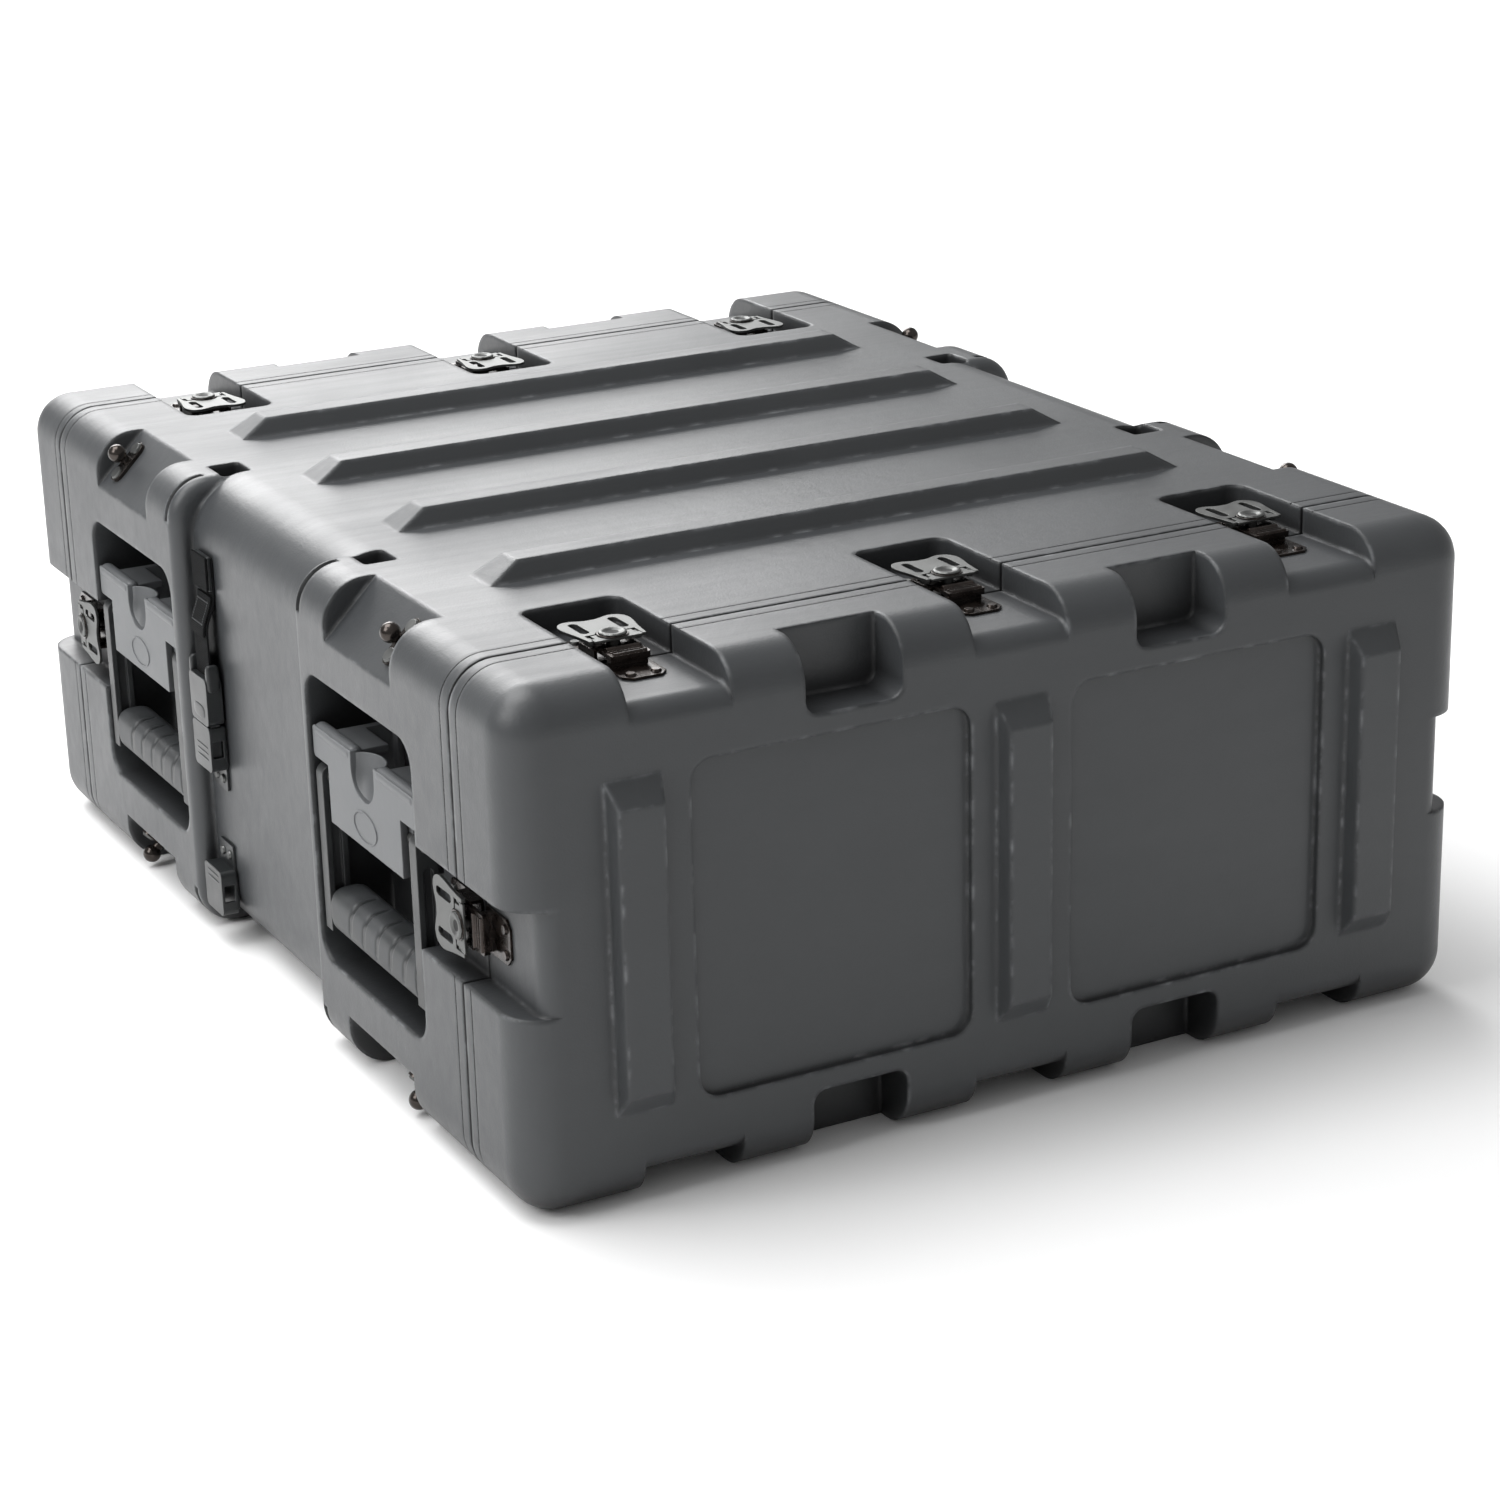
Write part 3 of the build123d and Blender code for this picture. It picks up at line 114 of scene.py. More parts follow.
@dataclass(frozen=True)
class Finish:
    """One finish of the case: its colour, its gloss and the marks of how it was made."""

    name: str
    colour: str
    shade: str
    roughness: float
    pattern: Pattern
    metallic: float = 0.0
    grain_mm: float = 1.6
    grain_depth_mm: float = 0.05
    drift_mm: float = 90.0
    edge_mm: float = 0.0
    # paler colour at rounded edges, partly wear and partly a painted highlight
    edge_wear_and_highlight_colour: str = ""
    coat: float = 0.0
    specular: float = 0.5
    streak_mm: float = 0.0
    # reach in mm of the painted shade that darkens recesses
    recess_shade_mm: float = 0.0

    def material(self) -> bpy.types.Material:
        """Builds the finish as a node material.

        Returns:
            The material: two close colours that drift over the piece, a grain in the bump and
            roughness, softly rounded edges painted paler where edge_mm is set (partly wear, partly
            a painted highlight), and painted shade in recesses where a shade reach is set.
        """
        made = bpy.data.materials.new(self.name)
        made.use_nodes = True
        tree = made.node_tree
        shader = tree.nodes["Principled BSDF"]
        shader.inputs["Metallic"].default_value = self.metallic
        shader.inputs["Coat Weight"].default_value = self.coat
        shader.inputs["Specular IOR Level"].default_value = self.specular
        places = add_node(tree, "ShaderNodeTexCoord").outputs["Object"]
        drift = add_node(
            tree,
            "ShaderNodeTexNoise",
            {"Vector": places, "Scale": 1 / (self.drift_mm * MM), "Detail": 4.0},
        ).outputs["Fac"]
        spread = add_node(
            tree,
            "ShaderNodeMapRange",
            {"Value": drift, "From Min": 0.32, "From Max": 0.68},
        ).outputs["Result"]
        colour = add_node(
            tree,
            "ShaderNodeMix",
            {"Factor": spread, 6: linear(self.shade), 7: linear(self.colour)},
            data_type="RGBA",
        ).outputs[2]
        normal = None
        if self.edge_mm:
            normal = add_node(
                tree, "ShaderNodeBevel", {"Radius": self.edge_mm * MM}, samples=6
            ).outputs["Normal"]
            # paler edges: partly wear, partly a painted highlight on every rounded edge
            colour = self.worn_and_highlit_edges(tree, colour, normal, places)
        # painted shade: the colour darkens in recesses
        if self.recess_shade_mm:
            colour = self.painted_recess_shade(tree, colour)
        grain = self.grain(tree, places)
        bump_inputs = {"Height": grain, "Distance": self.grain_depth_mm * MM}
        if normal:
            bump_inputs["Normal"] = normal
        bump = add_node(tree, "ShaderNodeBump", bump_inputs).outputs["Normal"]
        gloss = add_node(
            tree,
            "ShaderNodeMapRange",
            {
                "Value": drift,
                "From Min": 0.3,
                "From Max": 0.7,
                "To Min": self.roughness - 0.05,
                "To Max": self.roughness + 0.06,
            },
        ).outputs["Result"]
        if self.streak_mm:
            gloss = self.streaks(tree, gloss, places)
        tree.links.new(colour, shader.inputs["Base Color"])
        tree.links.new(gloss, shader.inputs["Roughness"])
        tree.links.new(bump, shader.inputs["Normal"])
        return made

    def grain(
        self, tree: bpy.types.NodeTree, places: bpy.types.NodeSocket
    ) -> bpy.types.NodeSocket:
        """Adds the surface's fine relief.

        Args:
            tree: the material's node tree.
            places: the coordinates that the relief is drawn in.

        Returns:
            The height socket, from 0 to 1.
        """
        scale = 1 / (self.grain_mm * MM)
        bands_scale = scale * WAVE_SHARE
        if self.pattern is Pattern.WOVEN:
            # ribs across the webbing at the thread spacing, crossed by finer warp threads
            ribs = add_node(
                tree,
                "ShaderNodeTexWave",
                {"Vector": places, "Scale": bands_scale, "Distortion": 0.6, "Detail": 1.0},
                bands_direction="Z",
            ).outputs["Fac"]
            warp = add_node(
                tree,
                "ShaderNodeTexWave",
                {"Vector": places, "Scale": bands_scale, "Distortion": 0.3},
                bands_direction="Y",
            ).outputs["Fac"]
            return add_node(
                tree, "ShaderNodeMath", {0: ribs, 1: warp}, operation="MULTIPLY"
            ).outputs[0]
        if self.pattern is Pattern.BRUSHED:
            # brush lines are long in one direction, so the noise is stretched along it
            drawn = add_node(
                tree, "ShaderNodeMapping", {"Vector": places, "Scale": (1.0, 0.06, 1.0)}
            ).outputs["Vector"]
            return add_node(
                tree, "ShaderNodeTexNoise", {"Vector": drawn, "Scale": scale, "Detail": 3.0}
            ).outputs["Fac"]
        fine = add_node(
            tree, "ShaderNodeTexNoise", {"Vector": places, "Scale": scale, "Detail": 3.0}
        ).outputs["Fac"]
        slow = add_node(
            tree, "ShaderNodeTexNoise", {"Vector": places, "Scale": scale / 9, "Detail": 2.0}
        ).outputs["Fac"]
        return add_node(
            tree, "ShaderNodeMath", {0: slow, 1: 1.6, 2: fine}, operation="MULTIPLY_ADD"
        ).outputs[0]

    def streaks(
        self, tree: bpy.types.NodeTree, gloss: bpy.types.NodeSocket, places: bpy.types.NodeSocket
    ) -> bpy.types.NodeSocket:
        """Adds the faint drag lines that a mould's release coat leaves across the case.

        Args:
            tree: the material's node tree.
            gloss: the roughness before the lines.
            places: the coordinates that they are drawn in.

        Returns:
            The roughness with its lines, which run along X.
        """
        drawn = add_node(
            tree, "ShaderNodeMapping", {"Vector": places, "Scale": (0.05, 1.0, 0.6)}
        ).outputs["Vector"]
        lines = add_node(
            tree,
            "ShaderNodeTexNoise",
            {"Vector": drawn, "Scale": 1 / (self.streak_mm * MM), "Detail": 5.0, "Roughness": 0.65},
        ).outputs["Fac"]
        centred = add_node(
            tree, "ShaderNodeMath", {0: lines, 1: 0.5}, operation="SUBTRACT"
        ).outputs[0]
        return add_node(
            tree, "ShaderNodeMath", {0: centred, 1: 0.17, 2: gloss}, operation="MULTIPLY_ADD"
        ).outputs[0]

    def painted_recess_shade(
        self, tree: bpy.types.NodeTree, colour: bpy.types.NodeSocket
    ) -> bpy.types.NodeSocket:
        """Paints shade into deep recesses: the colour darkens where walls stand close round a
        point.

        Args:
            tree: the material's node tree.
            colour: the colour before grime.

        Returns:
            The colour, with painted shade where walls closer than the shade reach stand round it.
        """
        open_share = add_node(
            tree, "ShaderNodeAmbientOcclusion", {"Distance": self.recess_shade_mm * MM}, samples=6
        ).outputs["AO"]
        deep = add_node(
            tree,
            "ShaderNodeMapRange",
            {
                "Value": open_share,
                "From Min": RECESS_OPEN,
                "From Max": RECESS_FULL,
                "To Min": 0.0,
                "To Max": RECESS_SHADE_MAX,
            },
        ).outputs["Result"]
        return add_node(
            tree,
            "ShaderNodeMix",
            {"Factor": deep, 6: colour, 7: linear(RECESS_SHADE_COLOUR)},
            data_type="RGBA",
        ).outputs[2]

    def worn_and_highlit_edges(
        self,
        tree: bpy.types.NodeTree,
        colour: bpy.types.NodeSocket,
        rounded: bpy.types.NodeSocket,
        places: bpy.types.NodeSocket,
    ) -> bpy.types.NodeSocket:
        """Paints the edges paler in broken patches: partly wear from handling, partly a painted
        highlight, since it takes in every rounded edge, concave ones too.

        Args:
            tree: the material's node tree.
            colour: the colour before wear.
            rounded: the rounded normal, which leaves the true normal only near an edge.
            places: coordinates for the patches.

        Returns:
            The colour with its paler edges, partly wear and partly painted highlight.
        """
        true_normal = add_node(tree, "ShaderNodeNewGeometry").outputs["Normal"]
        along = add_node(
            tree, "ShaderNodeVectorMath", {0: rounded, 1: true_normal}, operation="DOT_PRODUCT"
        ).outputs["Value"]
        edge = add_node(
            tree,
            "ShaderNodeMapRange",
            {
                "Value": along,
                "From Min": EDGE_START,
                "From Max": EDGE_FULL,
                "To Min": 0.0,
                "To Max": EDGE_WEAR_AND_HIGHLIGHT,
            },
        ).outputs["Result"]
        patches = add_node(
            tree,
            "ShaderNodeTexNoise",
            {"Vector": places, "Scale": 1 / (EDGE_PATCH_MM * MM), "Detail": 5.0},
        ).outputs["Fac"]
        broken = add_node(
            tree, "ShaderNodeMapRange", {"Value": patches, "From Min": 0.5, "From Max": 0.72}
        ).outputs["Result"]
        edge_wear_and_highlight = add_node(
            tree, "ShaderNodeMath", {0: edge, 1: broken}, operation="MULTIPLY"
        ).outputs[0]
        return add_node(
            tree,
            "ShaderNodeMix",
            {"Factor": edge_wear_and_highlight, 6: colour, 7: linear(self.edge_wear_and_highlight_colour or self.colour)},
            data_type="RGBA",
        ).outputs[2]


# Rotomoulded polyethylene: a dull charcoal skin with a slow orange peel and a fine sandblast grain.
# Its paler edges are partly wear and partly a painted highlight, and its recesses carry painted
# shade.
SHELL = Finish(
    "rotomoulded_polyethylene", "3f4143", "393b3d", 0.40, Pattern.MOULDED,
    grain_mm=1.5, grain_depth_mm=0.11, drift_mm=120, edge_mm=4.5, edge_wear_and_highlight_colour="8e9194",
    streak_mm=9.0, recess_shade_mm=55.0,
)
# Zinc plate over pressed steel: pale and satin, with faint roll lines. Its paler edges are partly
# wear and partly a painted highlight.
WING = Finish(
    "satin_zinc_plate", "6e6f6e", "5c5d5c", 0.44, Pattern.BRUSHED, metallic=1.0,
    grain_mm=0.9, grain_depth_mm=0.03, drift_mm=12, edge_mm=0.5, edge_wear_and_highlight_colour="c6c7c6",
)
# Blackened bronze coat on steel: nearly black, glossy, brown where the light catches it. Its paler
# edges are partly wear and partly a painted highlight.
PAN = Finish(
    "blackened_bronze_coat", "3a322e", "231d1a", 0.26, Pattern.COATED, metallic=0.85,
    grain_mm=0.8, grain_depth_mm=0.03, drift_mm=9, edge_mm=0.5, edge_wear_and_highlight_colour="6a5e56", coat=0.3,
)
# Glass-filled nylon for the handle brackets: mid grey, dull, lightly spark-eroded. Its paler edges
# are partly wear and partly a painted highlight, and its recesses carry painted shade.
BRACKET = Finish(
    "spark_eroded_nylon", "606264", "555759", 0.45, Pattern.MOULDED,
    grain_mm=0.8, grain_depth_mm=0.05, drift_mm=30, edge_mm=1.4, edge_wear_and_highlight_colour="9a9da0",
    recess_shade_mm=25.0,
)
# Black nylon for the bails and grips: a soft satin, scuffed on the crowns; its paler edges are
# partly that wear and partly a painted highlight.
BAIL = Finish(
    "black_nylon", "2e3031", "252627", 0.4, Pattern.MOULDED,
    grain_mm=0.9, grain_depth_mm=0.05, drift_mm=25, edge_mm=1.0, edge_wear_and_highlight_colour="55585a",
)
# Thermoplastic elastomer over the bail's bar: a dull, slightly soft grey that hides scratches.
GRIP = Finish(
    "grip_elastomer", "3c3e40", "2e3031", 0.5, Pattern.MOULDED,
    grain_mm=0.9, grain_depth_mm=0.06, drift_mm=20,
)
# Acetal buckles: a smooth moulded grey with a low gloss. Its paler edges are partly wear and partly
# a painted highlight.
BUCKLE = Finish(
    "moulded_acetal", "262829", "1f2122", 0.33, Pattern.MOULDED,
    grain_mm=1.0, grain_depth_mm=0.02, drift_mm=18, edge_mm=0.8, edge_wear_and_highlight_colour="85898d",
)
# Polyester webbing: ribs 2 mm apart, drawn a little coarser than the real thread to show.
WEBBING = Finish(
    "polyester_webbing", "141516", "0e0f10", 0.9, Pattern.WOVEN,
    grain_mm=2.0, grain_depth_mm=0.6, drift_mm=15, specular=0.2,
)
# Bonded polyester thread: paler than the webbing, with the dull shine of its coating.
THREAD = Finish(
    "bonded_thread", "4e5052", "3b3d3f", 0.6, Pattern.COATED,
    grain_mm=0.5, grain_depth_mm=0.03, drift_mm=5,
)
# Moulded rubber: nearly black and matt, with a trace of bloom.
RUBBER = Finish(
    "moulded_rubber", "1c1c1c", "141414", 0.7, Pattern.MOULDED,
    grain_mm=0.8, grain_depth_mm=0.06, drift_mm=20,
)
# Bent aluminium sheet: light, satin, with the mill's rolling lines. Its paler edges are partly wear
# and partly a painted highlight.
FRAME_METAL = Finish(
    "bent_aluminium_sheet", "b4b6b8", "a4a6a8", 0.38, Pattern.BRUSHED, metallic=1.0,
    grain_mm=1.0, grain_depth_mm=0.03, drift_mm=60, edge_mm=0.5, edge_wear_and_highlight_colour="cfd0d2",
)
# Zinc-plated steel rails: a greyer satin metal than the frame. Its paler edges are partly wear and
# partly a painted highlight.
RAIL_METAL = Finish(
    "zinc_plated_rail", "8d9092", "7d8082", 0.36, Pattern.BRUSHED, metallic=1.0,
    grain_mm=0.9, grain_depth_mm=0.03, drift_mm=40, edge_mm=0.4, edge_wear_and_highlight_colour="a8aaac",
)
# Black oxide on turned steel: dark with a tight highlight. Its paler edges are partly wear and
# partly a painted highlight.
STUD = Finish(
    "black_oxide_steel", "4a4542", "37322f", 0.2, Pattern.COATED, metallic=0.9,
    grain_mm=0.8, grain_depth_mm=0.01, drift_mm=10, edge_mm=0.4, edge_wear_and_highlight_colour="7c756f",
)

CAD_FINISHES = {
    "body_shell": SHELL, "front_lid": SHELL, "rear_lid": SHELL,
    "front_gasket": RUBBER, "rear_gasket": RUBBER,
    "latch_pans": PAN, "latch_hubs": WING, "front_strikes": PAN, "rear_strikes": PAN,
    "front_lid_rivets": PAN, "rear_lid_rivets": PAN, "body_rivets": WING,
    "handle_brackets": BRACKET, "handle_pins": WING,
    "buckle_sockets": BUCKLE, "strap_anchor_plates": BUCKLE, "strap_webbing": WEBBING,
    "rack_frame": FRAME_METAL, "rack_rails": RAIL_METAL, "shock_mounts": RUBBER,
    "frame_bolts": WING,
}
CAD_GROUPS = {
    "tie_down_": STUD, "wing_": WING, "hook_": PAN, "handle_": BAIL, "strap_plug_": BUCKLE,
}


# ------------------------------------------------------------------ meshes
def grid_piece(
    name: str, points: np.ndarray, closed_u: bool, closed_v: bool
) -> bpy.types.Object:
    """Makes a piece from a grid of points, with quads between neighbours.

    Args:
        name: the piece's name.
        points: array of shape (rows, columns, 3), in metres.
        closed_u: whether the last row joins the first.
        closed_v: whether the last column joins the first.

    Returns:
        The new object, with its doubles merged and its faces outwards.
    """
    rows, columns = points.shape[:2]
    index = np.arange(rows * columns).reshape(rows, columns)
    if closed_u:
        index = np.vstack([index, index[:1]])
    if closed_v:
        index = np.hstack([index, index[:, :1]])
    quads = np.stack([index[:-1, :-1], index[1:, :-1], index[1:, 1:], index[:-1, 1:]], axis=-1)
    mesh = bpy.data.meshes.new(name)
    mesh.from_pydata(points.reshape(-1, 3).tolist(), [], quads.reshape(-1, 4).tolist())
    work = bmesh.new()
    work.from_mesh(mesh)
    bmesh.ops.remove_doubles(work, verts=work.verts, dist=MERGE_GAP)
    bmesh.ops.recalc_face_normals(work, faces=work.faces)
    work.to_mesh(mesh)
    work.free()
    mesh.polygons.foreach_set("use_smooth", np.ones(len(mesh.polygons), bool))
    mesh.set_sharp_from_angle(angle=math.radians(SMOOTH_UNDER))
    piece = bpy.data.objects.new(name, mesh)
    bpy.context.scene.collection.objects.link(piece)
    return piece


def rounded_block(
    name: str,
    centre: tuple[float, float, float],
    size: tuple[float, float, float],
    power: float,
) -> bpy.types.Object:
    """Makes a block with soft edges: a superellipsoid, x**p + y**p + z**p = 1 in its half sizes.

    Args:
        name: the piece's name.
        centre: its middle, in metres.
        size: its full sizes, in metres.
        power: the exponent p, larger for tighter edges.

    Returns:
        The new object.
    """
    lat = np.linspace(-math.pi / 2, math.pi / 2, 25)[:, None]
    lon = np.linspace(0, 2 * math.pi, 48, endpoint=False)[None, :]
    e = 2 / power

    def bent(v: np.ndarray) -> np.ndarray:
        """The signed power of a cosine or sine."""
        return np.sign(v) * np.abs(v) ** e

    x = bent(np.cos(lat)) * bent(np.cos(lon))
    y = bent(np.cos(lat)) * bent(np.sin(lon))
    z = bent(np.sin(lat)) * np.ones_like(lon)
    grid = np.stack([x, y, z], axis=-1) * (np.array(size) / 2) + np.array(centre)
    return grid_piece(name, grid, False, True)


def along_path(
    name: str, path: np.ndarray, profile: np.ndarray, across: np.ndarray
) -> bpy.types.Object:
    """Carries a closed profile along a path.

    Args:
        name: the piece's name.
        path: points of the path, shape (n, 3).
        profile: closed profile, shape (m, 2): first along the path's own normal, then across.
        across: the direction across the path, the same all along it.

    Returns:
        The new object, with ends closed to their middles.
    """
    run = np.gradient(path, axis=0)
    run /= np.linalg.norm(run, axis=1, keepdims=True)
    rise = np.cross(run, across)
    rise /= np.linalg.norm(rise, axis=1, keepdims=True)
    body = (
        path[:, None, :]
        + rise[:, None, :] * profile[None, :, :1]
        + np.asarray(across)[None, None, :] * profile[None, :, 1:]
    )
    first = np.repeat(body[:1].mean(axis=1, keepdims=True), len(profile), axis=1)
    last = np.repeat(body[-1:].mean(axis=1, keepdims=True), len(profile), axis=1)
    return grid_piece(name, np.concatenate([first, body, last]), False, True)


def superellipse(half_a: float, half_b: float, power: float, count: int) -> np.ndarray:
    """Draws a closed rounded outline.

    Args:
        half_a: half its width.
        half_b: half its height.
        power: 2 gives an ellipse, and a higher power squares it.
        count: how many points it has.

    Returns:
        Points, shape (count, 2), on |a / half_a|**power + |b / half_b|**power = 1.
    """
    t = np.linspace(0, 2 * math.pi, count, endpoint=False)
    e = 2 / power
    a = np.sign(np.cos(t)) * np.abs(np.cos(t)) ** e * half_a
    b = np.sign(np.sin(t)) * np.abs(np.sin(t)) ** e * half_b
    return np.stack([a, b], axis=-1)


def finish_piece(
    piece: bpy.types.Object, finish: bpy.types.Material, body: str
) -> None:
    """Dresses a piece and ties it to its body.

    Args:
        piece: the piece.
        finish: its material.
        body: the body that it moves with.
    """
    piece.data.materials.append(finish)
    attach(piece, body)
    LOG.info("piece %s rides on %s", piece.name, body)


# ------------------------------------------------------------------ sub-assemblies
class Side(Enum):
    """A side of the case, by the sign of X."""

    LEFT = -1
    RIGHT = 1


class End(Enum):
    """An end of the case, by the sign of Y."""

    FRONT = -1
    REAR = 1


@dataclass
class CarryHandle:
    """A drop handle: the sleeve on its grip, and the rolled top, scoop and rim of its bracket."""

    side: Side
    end: End
    middle_y: float = 0.2036
    face_x: float = 0.328
    grip_depth: float = 0.0272
    grip_height: float = 0.0292
    grip_z: float = MID_HEIGHT - 0.060
    grip_half: float = 0.0672
    grip_inset: float = 0.013
    grip_power: float = 3.2
    grip_end_round: float = 0.0025
    grip_end_share: float = 0.14
    finger_pitch: float = 0.021
    groove_half_width: float = 0.0017
    groove_share: float = 0.14
    groove_bow: float = 0.009
    groove_turn: float = 0.75
    groove_fade: tuple[float, float] = (0.35, 0.5)
    roll_radius: float = 0.0052
    roll_out: float = 0.0006
    roll_up: float = 0.0016
    bar_top: float = MID_HEIGHT + 0.060
    bar_half: float = 0.0785
    thumb_half: float = 0.018
    thumb_bottom: float = MID_HEIGHT + 0.033
    scoop_gap: float = 0.0006
    scoop_lip: float = 0.0012
    scoop_depth: float = 0.0125
    scoop_sheet: float = 0.0011
    oval_half: tuple[float, float] = (0.0175, 0.0095)
    oval_z: float = MID_HEIGHT + 0.0165
    oval_bead: float = 0.0008

    @property
    def label(self) -> str:
        """The end and side as the bodies name them."""
        return f"{self.end.name.lower()}_{self.side.name.lower()}"

    def grip_sleeve(self) -> bpy.types.Object:
        """Makes the grip's sleeve: a superellipse carried along Y, waved by curved finger grooves.

        Returns:
            The sleeve. Its radius drops by a narrow bell curve along each groove, and each
            groove bows along Y with the cosine of the angle round the grip and fades out
            towards the grip's inner side, so that it is a crescent.
        """
        along = np.linspace(-self.grip_half, self.grip_half, 161)[:, None]
        turn = np.linspace(0, 2 * math.pi, 64, endpoint=False)[None, :]
        e = 2 / self.grip_power
        c, s = np.cos(turn), np.sin(turn)
        depth = np.sign(c) * np.abs(c) ** e * self.grip_depth / 2
        rise = np.sign(s) * np.abs(s) ** e * self.grip_height / 2
        dip = np.zeros_like(along * turn)
        facing = np.cos(turn - self.groove_turn)
        shown = np.clip((facing - self.groove_fade[0]) / self.groove_fade[1], 0, 1)
        for step in range(-2, 3):
            away = along - step * self.finger_pitch + self.groove_bow * facing
            dip = dip + np.exp(-((away / self.groove_half_width) ** 2)) * shown
        ends = np.clip((self.grip_half - np.abs(along)) / self.grip_end_round, 0, 1)
        rounding = 1 - self.grip_end_share * (1 - np.sqrt(1 - (1 - ends) ** 2))
        scale = (1 - self.groove_share * dip) * rounding
        centre_x = self.side.value * (self.face_x - self.grip_inset)
        x = centre_x + self.side.value * depth * scale
        y = self.end.value * self.middle_y + along * np.ones_like(turn)
        z = self.grip_z + rise * scale
        grid = np.stack([x, y, z], axis=-1)
        first = np.repeat(grid[:1].mean(axis=1, keepdims=True), turn.size, axis=1)
        last = np.repeat(grid[-1:].mean(axis=1, keepdims=True), turn.size, axis=1)
        whole = np.concatenate([first, grid, last])
        return grid_piece(f"grip_sleeve_{self.label}", whole, False, True)

    def top_rolls(self) -> list[bpy.types.Object]:
        """Makes the rolled top edge of the bracket: a rod with ball ends on each side of the scoop.

        Returns:
            Two rods, each a circle carried along Y whose radius closes as a half circle.
        """
        rolls = []
        turn = np.linspace(0, 2 * math.pi, 32, endpoint=False)[None, :]
        for flank in (-1, 1):
            start, stop = flank * self.thumb_half, flank * self.bar_half
            arc = np.linspace(0, math.pi, 49)[:, None]
            middle, half = (start + stop) / 2, abs(stop - start) / 2
            straight = half - self.roll_radius
            y = middle - np.cos(arc) * self.roll_radius - np.sign(np.cos(arc)) * straight
            radius = np.sin(arc) * self.roll_radius
            middle_x = self.side.value * (self.face_x - self.roll_radius + self.roll_out)
            x = middle_x + radius * np.cos(turn)
            z = self.bar_top - self.roll_radius + self.roll_up + radius * np.sin(turn)
            y_all = self.end.value * self.middle_y + y * np.ones_like(turn)
            name = f"bracket_roll_{self.label}_{'a' if flank < 0 else 'b'}"
            rolls.append(grid_piece(name, np.stack([x, y_all, z], axis=-1), False, True))
        return rolls

    def scoop(self) -> bpy.types.Object:
        """Makes the dish behind the thumb notch.

        Returns:
            A thin shell over (u, v), where u runs from -1 to 1 across and v from 0 at the foot
            to 1 at the top. Its half width follows the notch's round foot, and its depth is
            the root of 1 - u**2 times a quarter sine of v, so it is deepest at the top.
        """
        u = np.linspace(-1, 1, 41)[None, :]
        v = np.linspace(0, 1, 41)[:, None]
        reach = self.thumb_half + self.scoop_gap
        foot = self.thumb_bottom - self.scoop_gap
        height = v * (self.bar_top - self.scoop_lip - foot)
        lower = np.clip(1 - height / reach, 0, 1)
        half = reach * np.sqrt(np.clip(1 - lower**2, 0.0004, 1))
        sunk = self.scoop_depth * np.sqrt(np.clip(1 - u**2, 0, 1) * np.sin(v * math.pi / 2))
        skins = []
        for skin in (0.0, self.scoop_sheet):
            x = self.side.value * (self.face_x - self.scoop_lip - sunk - skin)
            y = self.end.value * self.middle_y + half * u
            z = foot + height - skin * 0.3 + 0 * u
            skins.append(np.stack([x, y, z], axis=-1))
        front, back = skins
        loop = np.concatenate([front, back[:, ::-1]], axis=1)
        first = np.repeat(loop[:1].mean(axis=1, keepdims=True), loop.shape[1], axis=1)
        closed = np.concatenate([back[-1:], back[-1:, ::-1]], axis=1)
        whole = np.concatenate([first, loop, closed])
        return grid_piece(f"thumb_scoop_{self.label}", whole, False, True)

    def blank_oval(self) -> bpy.types.Object:
        """Makes the plain raised oval on the bracket's stem: a small round bead round an ellipse.

        Returns:
            The bead, (a cos t, b sin t) with a small circle carried round it.
        """
        t = np.linspace(0, 2 * math.pi, 72, endpoint=False)[:, None]
        s = np.linspace(0, 2 * math.pi, 14, endpoint=False)[None, :]
        bead = self.oval_bead * np.cos(s)
        y = self.end.value * self.middle_y + (self.oval_half[0] + bead) * np.cos(t)
        z = self.oval_z + (self.oval_half[1] + bead) * np.sin(t)
        rise = self.oval_bead * np.sin(s) * 0.8
        x = self.side.value * (self.face_x + rise) * np.ones_like(t)
        return grid_piece(f"blank_oval_{self.label}", np.stack([x, y, z], axis=-1), True, True)

    def build(self, finishes: dict[str, bpy.types.Material]) -> None:
        """Makes and dresses every piece of the handle.

        Args:
            finishes: materials by finish name.
        """
        sleeve = self.grip_sleeve()
        finish_piece(sleeve, finishes[GRIP.name], f"handle_{self.label}")
        for piece in [*self.top_rolls(), self.scoop(), self.blank_oval()]:
            finish_piece(piece, finishes[BRACKET.name], "case")


class Face(Enum):
    """A face of the case that latches stand on: its outward direction and its recess floor."""

    TOP = ((0, 0, 1), 0.3005)
    BOTTOM = ((0, 0, -1), -0.017)
    LEFT = ((-1, 0, 0), 0.313)
    RIGHT = ((1, 0, 0), 0.313)


